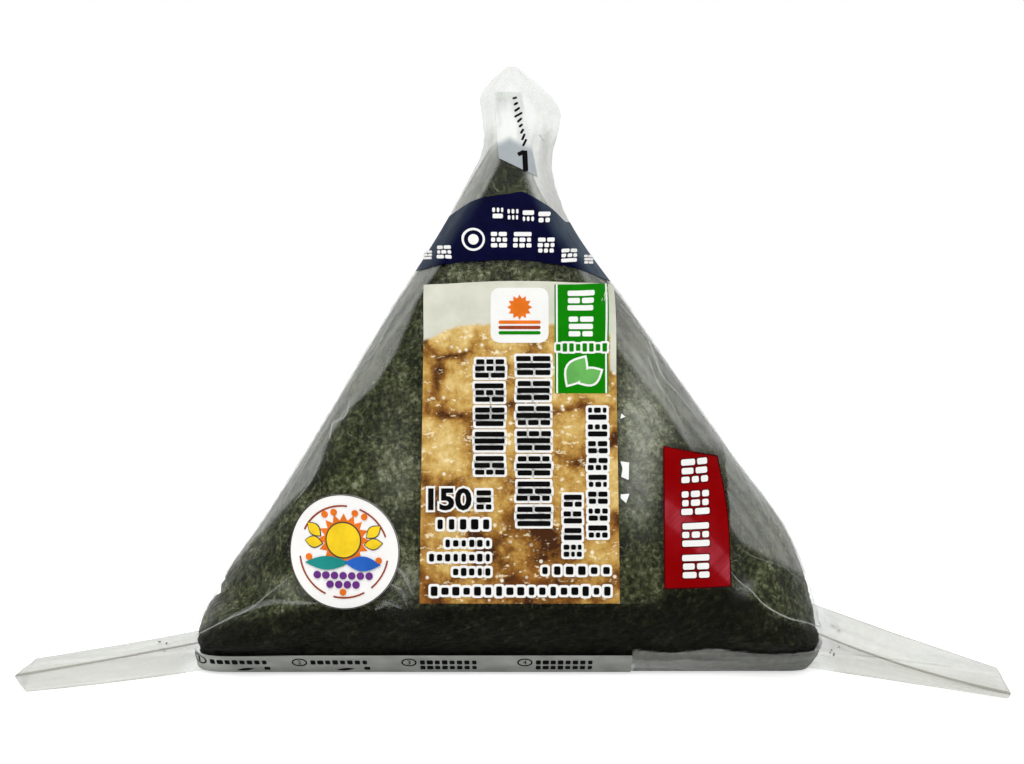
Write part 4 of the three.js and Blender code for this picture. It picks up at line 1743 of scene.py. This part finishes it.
@dataclass
class RoundSticker(Printed):
    """The round white sticker with a ring and a plain sun, leaves and dots."""

    slot: ClassVar[str] = "round_sticker"
    x: float = -25.2
    z: float = 20.6
    radius: float = 8.4
    ring: float = 6.7

    def where(self, s: Array, t: Array) -> Spots:
        """Gives the sticker's places: a square's, drawn out to a disc."""
        u, v = 2 * s - 1, 2 * t - 1
        across = self.radius * u * np.sqrt(1 - v * v / 2)
        up = self.radius * v * np.sqrt(1 - u * u / 2)
        return self.x + across, self.z + up

    def build(self) -> None:
        """Makes the sticker and everything printed on it."""
        disc, _, _ = skin_patch(self.form, "round_sticker_disc", 44, 44, self.where)
        complete(disc, CREAM_PAPER, "round_sticker", "round_sticker")
        # Painted shadow: a thin dark ring along the disc's edge where it stands off the film.
        rim = self.layer(0)
        rim.frame(*(oval(self.x, self.z, reach, reach, 72) for reach in (8.38, 8.24)))
        rim.piece("sticker_rim", OUTLINE_AND_EDGE_SHADOW_INK, "round_sticker")
        self.broken_ring()
        self.motifs()

    def broken_ring(self) -> None:
        """Prints the rust-coloured ring as a run of arcs with gaps."""
        arcs = []
        for start, end in ((0.35, 1.2), (1.5, 2.7), (3.3, 4.3), (4.5, 5.2), (5.4, 6.1)):
            turns = np.linspace(start, end, max(int((end - start) / 0.09), 3))
            for first, last in zip(turns[:-1], turns[1:]):
                turn = (first + last) / 2
                x, z = self.x + self.ring * math.cos(turn), self.z + self.ring * math.sin(turn)
                arcs.append(rounded_bar(x, z, 0.24, self.ring * (last - first) * 1.1, 0.02, turn))
        self.press("sticker_ring", RUST_INK, 1, *arcs)

    def motifs(self) -> None:
        """Prints a sun between leaves over hills and berries, inside the ring."""
        x, z = self.x, self.z
        self.press("sticker_rays", ORANGE_INK, 1, sunburst(x, z + 1.7, 3.9, 2.9, 16))
        self.press("sticker_rim_line", OUTLINE_AND_EDGE_SHADOW_INK, 2, oval(x, z + 1.7, 2.7, 2.7))
        self.press("sticker_sun", SUN_INK, 3, oval(x, z + 1.7, 2.5, 2.5))
        spots = [(side, up, tilt) for side in (-1, 1) for up, tilt in ((3.0, 0.7), (1.2, 0.1))]
        for name, ink, number, more in (
            ("sticker_petal_edges", OUTLINE_AND_EDGE_SHADOW_INK, 2, 0.3), ("sticker_petals", SUN_INK, 3, 0.0),
        ):
            self.press(name, ink, number, *(
                leaf(x + side * 4.5, z + up, 2.6 + more, 1.5 + more, side * tilt) for side, up, tilt in spots
            ))
        self.press("sticker_hills", TEAL_INK, 4, leaf(x - 2.4, z - 1.7, 6.8, 2.0, 0.04))
        self.press("sticker_lake", BLUE_INK, 5, leaf(x + 2.9, z - 1.7, 5.4, 2.2, -0.06))
        self.press("sticker_berries", PURPLE_INK, 4, *(
            oval(x + 1.3 * (i - (count - 1) / 2), z + row, 0.55, 0.55, 16)
            for row, count in ((-3.5, 7), (-4.8, 4)) for i in range(count)
        ))
        dots = ((-2.9, 5.3), (-1.5, 5.7), (1.7, 5.7), (3.1, 5.2), (-5.2, -1.0), (5.3, -1.2), (0.0, -5.9))
        self.press("sticker_dots", ORANGE_INK, 4, *(
            oval(x + across, z + up, 0.48, 0.48, 16) for across, up in dots
        ))


@dataclass
class NavyBand:
    """The dark band across the face above the label, with two rows of white marks."""

    form: PackForm
    reach: float = 0.955
    lower: ClassVar = Profile([(-15.5, 62.4), (-9, 63.8), (0, 64.3), (7.6, 63.5), (15.2, 60.9)])
    upper: ClassVar = Profile([
        (-10, 71.1), (-4.5, 73.9), (0.4, 74.7), (1.4, 74.9), (2.2, 74.6), (6.3, 71.9), (8, 70.3),
    ])
    seed: int = 91

    def where(self, s: Array, t: Array) -> Spots:
        """Settles x and z together, because each depends on the other."""
        share = (2 * s - 1) * self.reach
        x = np.zeros_like(s)
        z = np.zeros_like(s)
        for _ in range(10):
            z = between(self.lower(x), self.upper(x), t)
            x = share * self.form.half_width(share, z)
        return x, z

    def build(self) -> None:
        """Makes the band and its marks."""
        band, x, z = skin_patch(self.form, "navy_band_sheet", 72, 26, self.where)
        # Painted reflection: the band's sides are veiled grey-blue where the film turns to a grazing angle.
        half = self.form.half_width(x, z)
        left = within(half + x, 1.4, 3.4) * (x < 0)
        right = within(half - x, 2.0, 3.0) * (x > 0)
        complete(band, NAVY_INK, "navy_band", "navy_band", haze=np.clip(0.34 * left + 0.5 * right, 0, 1))
        marks = Print(self.form, PRINT_LOW, 0.56)
        marks.frame(oval(-5.9, 67.4, 1.75, 1.75, 40), oval(-5.9, 67.4, 1.42, 1.42, 40))
        marks.shape(oval(-5.9, 67.4, 0.8, 0.8, 20))
        draw = np.random.default_rng(self.seed)
        for i in range(4):
            marks.shapes(brick_marks(draw, -2.2 + 2.35 * i, 71.5 - 0.22 * i, 2.0, 1.9, 2))
        for x, size in (
            (-12.9, 1.5), (-10.2, 2.2), (-2.0, 2.6), (1.6, 2.8), (5.2, 2.5), (8.6, 2.2), (11.6, 1.5),
        ):
            level = (self.lower(x) + self.upper(x)) / 2 - 1.6 - 0.035 * abs(x)
            level = min(level, self.lower(x) + 3.1)
            marks.shapes(brick_marks(draw, x, level, size * 1.12, min(size, 2.6)))
        marks.piece("band_marks", WHITE_INK, "navy_band")


@dataclass
class RedPanel:
    """The red panel low on the right, with four white marks one under the other and a painted reflection
    streak.
    """

    form: PackForm
    bottom: float = 15.2
    top: Pair = (36.3, 34.2)
    left: float = 22.7
    right: ClassVar = Profile([(15.2, 32.9), (24.9, 32.7), (28.7, 32.3), (34.2, 31.4), (36.3, 31.1)])
    seed: int = 95

    def where(self, s: Array, t: Array) -> Spots:
        """Gives the panel's places: its right edge follows the edge of the pack."""
        z = between(self.bottom, between(*self.top, s), t)
        return between(self.left, self.right(z), s), z

    def build(self) -> None:
        """Makes the panel and its marks."""
        panel, x, z = skin_patch(self.form, "red_panel_sheet", 30, 60, self.where)
        # Painted reflection: a pale pink streak across the panel where the film would mirror the light.
        streak = np.array([(21.0, 28.2), (26.0, 24.4), (29.5, 20.8), (33.5, 16.8)])
        off = distance_to(streak, x, z)
        bright = within(off, 1.2, 0.4) * (0.5 + 0.5 * ease((x - 23) / 8))
        glare = 0.3 * bright + 0.07 * np.exp(-((off / 2.6) ** 2))
        haze = np.clip(glare * (1 + 0.4 * Ripples(96, 0.8, 3)(x - z, (x + z) * 0.1)), 0, 1)
        complete(panel, RED_INK, "red_panel", "red_panel", haze=haze)
        steps = np.linspace(0, 1, 21)
        none, full = steps * 0, steps * 0 + 1
        ways = ((steps, none), (full, steps), (steps[::-1], full), (none, steps[::-1]))
        rim = np.concatenate([np.column_stack(self.where(*way))[:-1] for way in ways])
        inner = rim + np.clip(rim.mean(axis=0) - rim, -0.16, 0.16)
        edge = Print(self.form, PRINT_LOW, 0.47)
        edge.frame(rim, inner)
        edge.piece("panel_edge", DEEP_RED_INK, "red_panel")
        surround, marks = Print(self.form, PRINT_LOW, 0.47), Print(self.form, PRINT_LOW, 0.5)
        draw = np.random.default_rng(self.seed)
        for i in range(4):
            for bar in brick_marks(draw, 27.5, 32.4 - 4.65 * i, 4.7, 3.8):
                surround.shape(grown(bar, 0.14))
                marks.shape(bar)
        surround.piece("panel_surround", DEEP_RED_INK, "red_panel")
        marks.piece("panel_marks", WHITE_INK, "red_panel")


@dataclass
class TearTab:
    """The pale tear strip from the seaweed's tip up into the fin, with its numeral."""

    form: PackForm
    lower: Pair = (80.2, 77.3)
    top: float = 91.0
    middle: Pair = (0.9, -0.6)
    half: Pair = (2.9, 2.1)

    def where(self, s: Array, t: Array) -> Spots:
        """Gives the strip's places: its lower end is cut off aslant."""
        x = between(*self.middle, t) + (2 * s - 1) * between(*self.half, t)
        return x, between(between(*self.lower, s), self.top, t)

    def build(self) -> None:
        """Makes the strip, its numeral and the short marks above it."""
        strip, x, z = skin_patch(self.form, "tear_tab_strip", 16, 48, self.where)
        haze = ease((z - 82.7 + 0.5 * np.abs(x + 0.4)) / 1.6)
        complete(strip, TAB_INK, "tear_tab", "tear_tab", haze=haze)
        marks = Print(self.form, PRINT_LOW, 0.49)
        marks.shape(rounded_bar(2.0, 79.75, 0.78, 3.3, 0.12, 0.04))
        marks.shape(rounded_bar(1.4, 81.0, 1.1, 0.62, 0.15, 0.5))
        draw = np.random.default_rng(97)
        for i in range(9):
            length, tilt = draw.uniform(0.7, 1.5), 1.15 - 0.1 * i + draw.uniform(-0.12, 0.12)
            marks.shape(rounded_bar(1.95 - 0.19 * i, 82.7 + 0.92 * i, length, 0.34, 0.12, tilt))
        marks.piece("tab_marks", BLACK_INK, "tear_tab")


@dataclass
class BaseStrip:
    """The strip printed along the foot, its white print painted grey to stand for the shade of the undercut
    foot, with four circled numerals and short rows of dashes.
    """

    form: PackForm
    left: float = -49.6
    right: float = 18.6
    bottom: float = 0.35
    top: float = 3.75
    line: float = 2.45
    starts: tuple[float, ...] = (-48.6, -33.0, -16.0, 2.0)

    def where(self, s: Array, t: Array) -> Spots:
        """Gives the strip's places along the foot."""
        return between(self.left, self.right, s), between(self.bottom, self.top, t)

    def flat_dash(self) -> Body:
        """Makes one dash lying flat: a rounded bar 1 mm thick."""
        outline = rounded_bar(0, 0, 0.98, 0.92, 0.2)
        sides = len(outline)
        low = np.column_stack([outline, np.zeros(sides)])
        high = np.column_stack([outline, np.ones(sides)])
        faces = [tuple(range(sides - 1, -1, -1)), tuple(range(sides, 2 * sides))]
        faces += [(k, (k + 1) % sides, sides + (k + 1) % sides, sides + k) for k in range(sides)]
        return np.concatenate([low, high]), faces

    def build(self) -> None:
        """Makes the strip, its numerals and its dashes."""
        strip, x, z = skin_patch(self.form, "base_strip_print", 120, 8, self.where)
        cloud = 0.25 + 0.3 * Ripples(71, 3, 12)(x, z * 3)
        # Painted light and shade: lighter towards the left end, darker along the very bottom where it meets
        # the floor.
        haze = np.clip(cloud + 0.5 * within(x + 50, 3, 5) - 0.2 * within(z, 0.8, 1.2), 0, 1)
        complete(strip, SHADED_STRIP_INK, "film_pack", haze=haze)
        marks = Print(self.form, PRINT_LOW, 0.48)
        for number, start in enumerate(self.starts, 1):
            marks.frame(oval(start, self.line, 1.2, 0.8, 28), oval(start, self.line, 0.96, 0.6, 28))
            marks.numeral(str(number), start, self.line, 0.3 if number == 1 else 0.55, 0.82)
        dash = make_piece("one_dash", *self.flat_dash(), smooth=False)
        dashes = Row(count=8, pitch=1.15, narrowest=0.55, heights=(0.8, 1.0), axis=0, seed=5)
        row = dashes.lay("dash_row", dash, BLACK_INK)
        flat = vertices(row)
        rows = [(start + 2.1, self.line, 1.0) for start in self.starts]
        rows += [(start + 2.1, 1.35, 0.9) for start in self.starts[2:]]
        for across, level, tall in rows:
            lift = marks.low + flat[:, 2] * (marks.high - marks.low)
            first = marks.keep(np.column_stack([across + flat[:, 0], level + flat[:, 1] * tall, lift]))
            marks.faces += [tuple(first + v for v in face.vertices) for face in row.data.polygons]
        bpy.data.objects.remove(row)
        for start in self.starts[:2]:
            marks.shape(leaf(start + 7.0, 1.0, 2.8, 0.5, 0.1))
            marks.shape(rounded_bar(start + 10.4, 1.2, 0.9, 0.6, 0.1))
        marks.piece("strip_marks", BLACK_INK, "film_pack")


# The studio


@dataclass
class Studio:
    """The floor, the lights and the camera."""

    distance: float = 0.210
    elevation: float = 4.0
    aim: float = 0.045
    focal_pixels: float = 1300.0
    image_width: float = 1024.0
    sensor: float = 36.0
    floor_radius: float = 4.0
    floor_drop: float = 0.0004
    ambience: float = 0.2

    def floor(self) -> None:
        """Makes the floor: a wide disc just under the pack."""
        turns = np.arange(64) * TAU / 64
        rim = np.stack([np.cos(turns), np.sin(turns), turns * 0], axis=1) * self.floor_radius
        floor = make_piece("studio_floor", (rim - (0, 0, self.floor_drop)) / MM, [range(64)], smooth=False)
        dress(floor, FLOOR)

    def world(self) -> None:
        """Makes the air round the pack: dim for what it lights, white where it is seen."""
        world = bpy.data.worlds.new("studio_world")
        world.use_nodes = True
        sheet = NodeSheet(world.node_tree)
        dim = sheet.tree.nodes["Background"]
        sheet.feed(dim, {"Color": (1, 1, 1, 1), "Strength": self.ambience})
        path = sheet.add("ShaderNodeLightPath").outputs
        bright = sheet.add("ShaderNodeMath", {
            0: path["Is Camera Ray"], 1: path["Is Glossy Ray"],
        }, operation="MAXIMUM")
        seen = sheet.add("ShaderNodeBackground", {"Color": (1, 1, 1, 1)})
        both = sheet.add("ShaderNodeMixShader", {0: bright, 1: dim, 2: seen})
        sheet.feed(sheet.tree.nodes["World Output"], {"Surface": both})
        bpy.context.scene.world = world

    def hang(self, lamp: bpy.types.Light, spot: Sequence[float], towards: Vector) -> None:
        """Hangs a lamp at a spot and turns it to face a direction."""
        hung = new_object(lamp.name, lamp)
        hung.location = spot
        hung.rotation_euler = towards.to_track_quat("-Z", "Y").to_euler()

    def sun(self, strength: float, spread: float, towards: Triple) -> None:
        """Hangs a wide soft light far above the floor."""
        lamp = bpy.data.lights.new("sky_panel", "SUN")
        lamp.energy = strength
        lamp.angle = math.radians(spread)
        self.hang(lamp, (0, 0, 0), Vector(towards))

    def light(self, name: str, spot: Triple, size: Pair, power: float) -> None:
        """Hangs a soft light that points at the pack's middle."""
        lamp = bpy.data.lights.new(name, "AREA")
        lamp.shape = "RECTANGLE"
        lamp.size, lamp.size_y = size
        lamp.energy = power
        self.hang(lamp, spot, Vector((0, 0, self.aim)) - Vector(spot))

    def camera(self) -> None:
        """Sets the camera at the photograph's angle."""
        rise = math.radians(self.elevation)
        lens = bpy.data.cameras.new("camera")
        lens.sensor_width = self.sensor
        lens.lens = self.focal_pixels / self.image_width * self.sensor
        lens.clip_start = 0.01
        stand = new_object("camera", lens)
        stand.location = (0, -self.distance * math.cos(rise), self.aim + self.distance * math.sin(rise))
        stand.rotation_euler = (math.pi / 2 - rise, 0, 0)
        bpy.context.scene.camera = stand

    def build(self) -> None:
        """Sets up the whole studio."""
        self.camera()
        self.floor()
        self.world()
        self.sun(strength=2.35, spread=70, towards=(0.08, 0.62, -1))
        self.light("key_light", spot=(-0.4, -0.6, 0.55), size=(0.25, 0.25), power=0.45)
        self.light("side_light", spot=(0.5, -0.4, 0.3), size=(0.07, 0.5), power=0.25)
        bpy.context.scene.view_settings.view_transform = "Standard"


def main() -> None:
    """Builds the studio and every sub-assembly in order."""
    logging.basicConfig(level=logging.INFO, format="%(message)s")
    form = PackForm()
    Studio().build()
    wrap = SeaweedWrap(form).build()
    SeaweedStrands().build(wrap)
    SeaweedCrumbs().build()
    BackSeam(form).build()
    FilmShell(form).build()
    FilmEar(Side.LEFT).build()
    FilmEar(Side.RIGHT).build()
    FilmFolds(form).build()
    FrontLabel(form).build()
    RoundSticker(form).build()
    NavyBand(form).build()
    RedPanel(form).build()
    TearTab(form).build()
    BaseStrip(form).build()


if __name__ == "__main__":
    main()
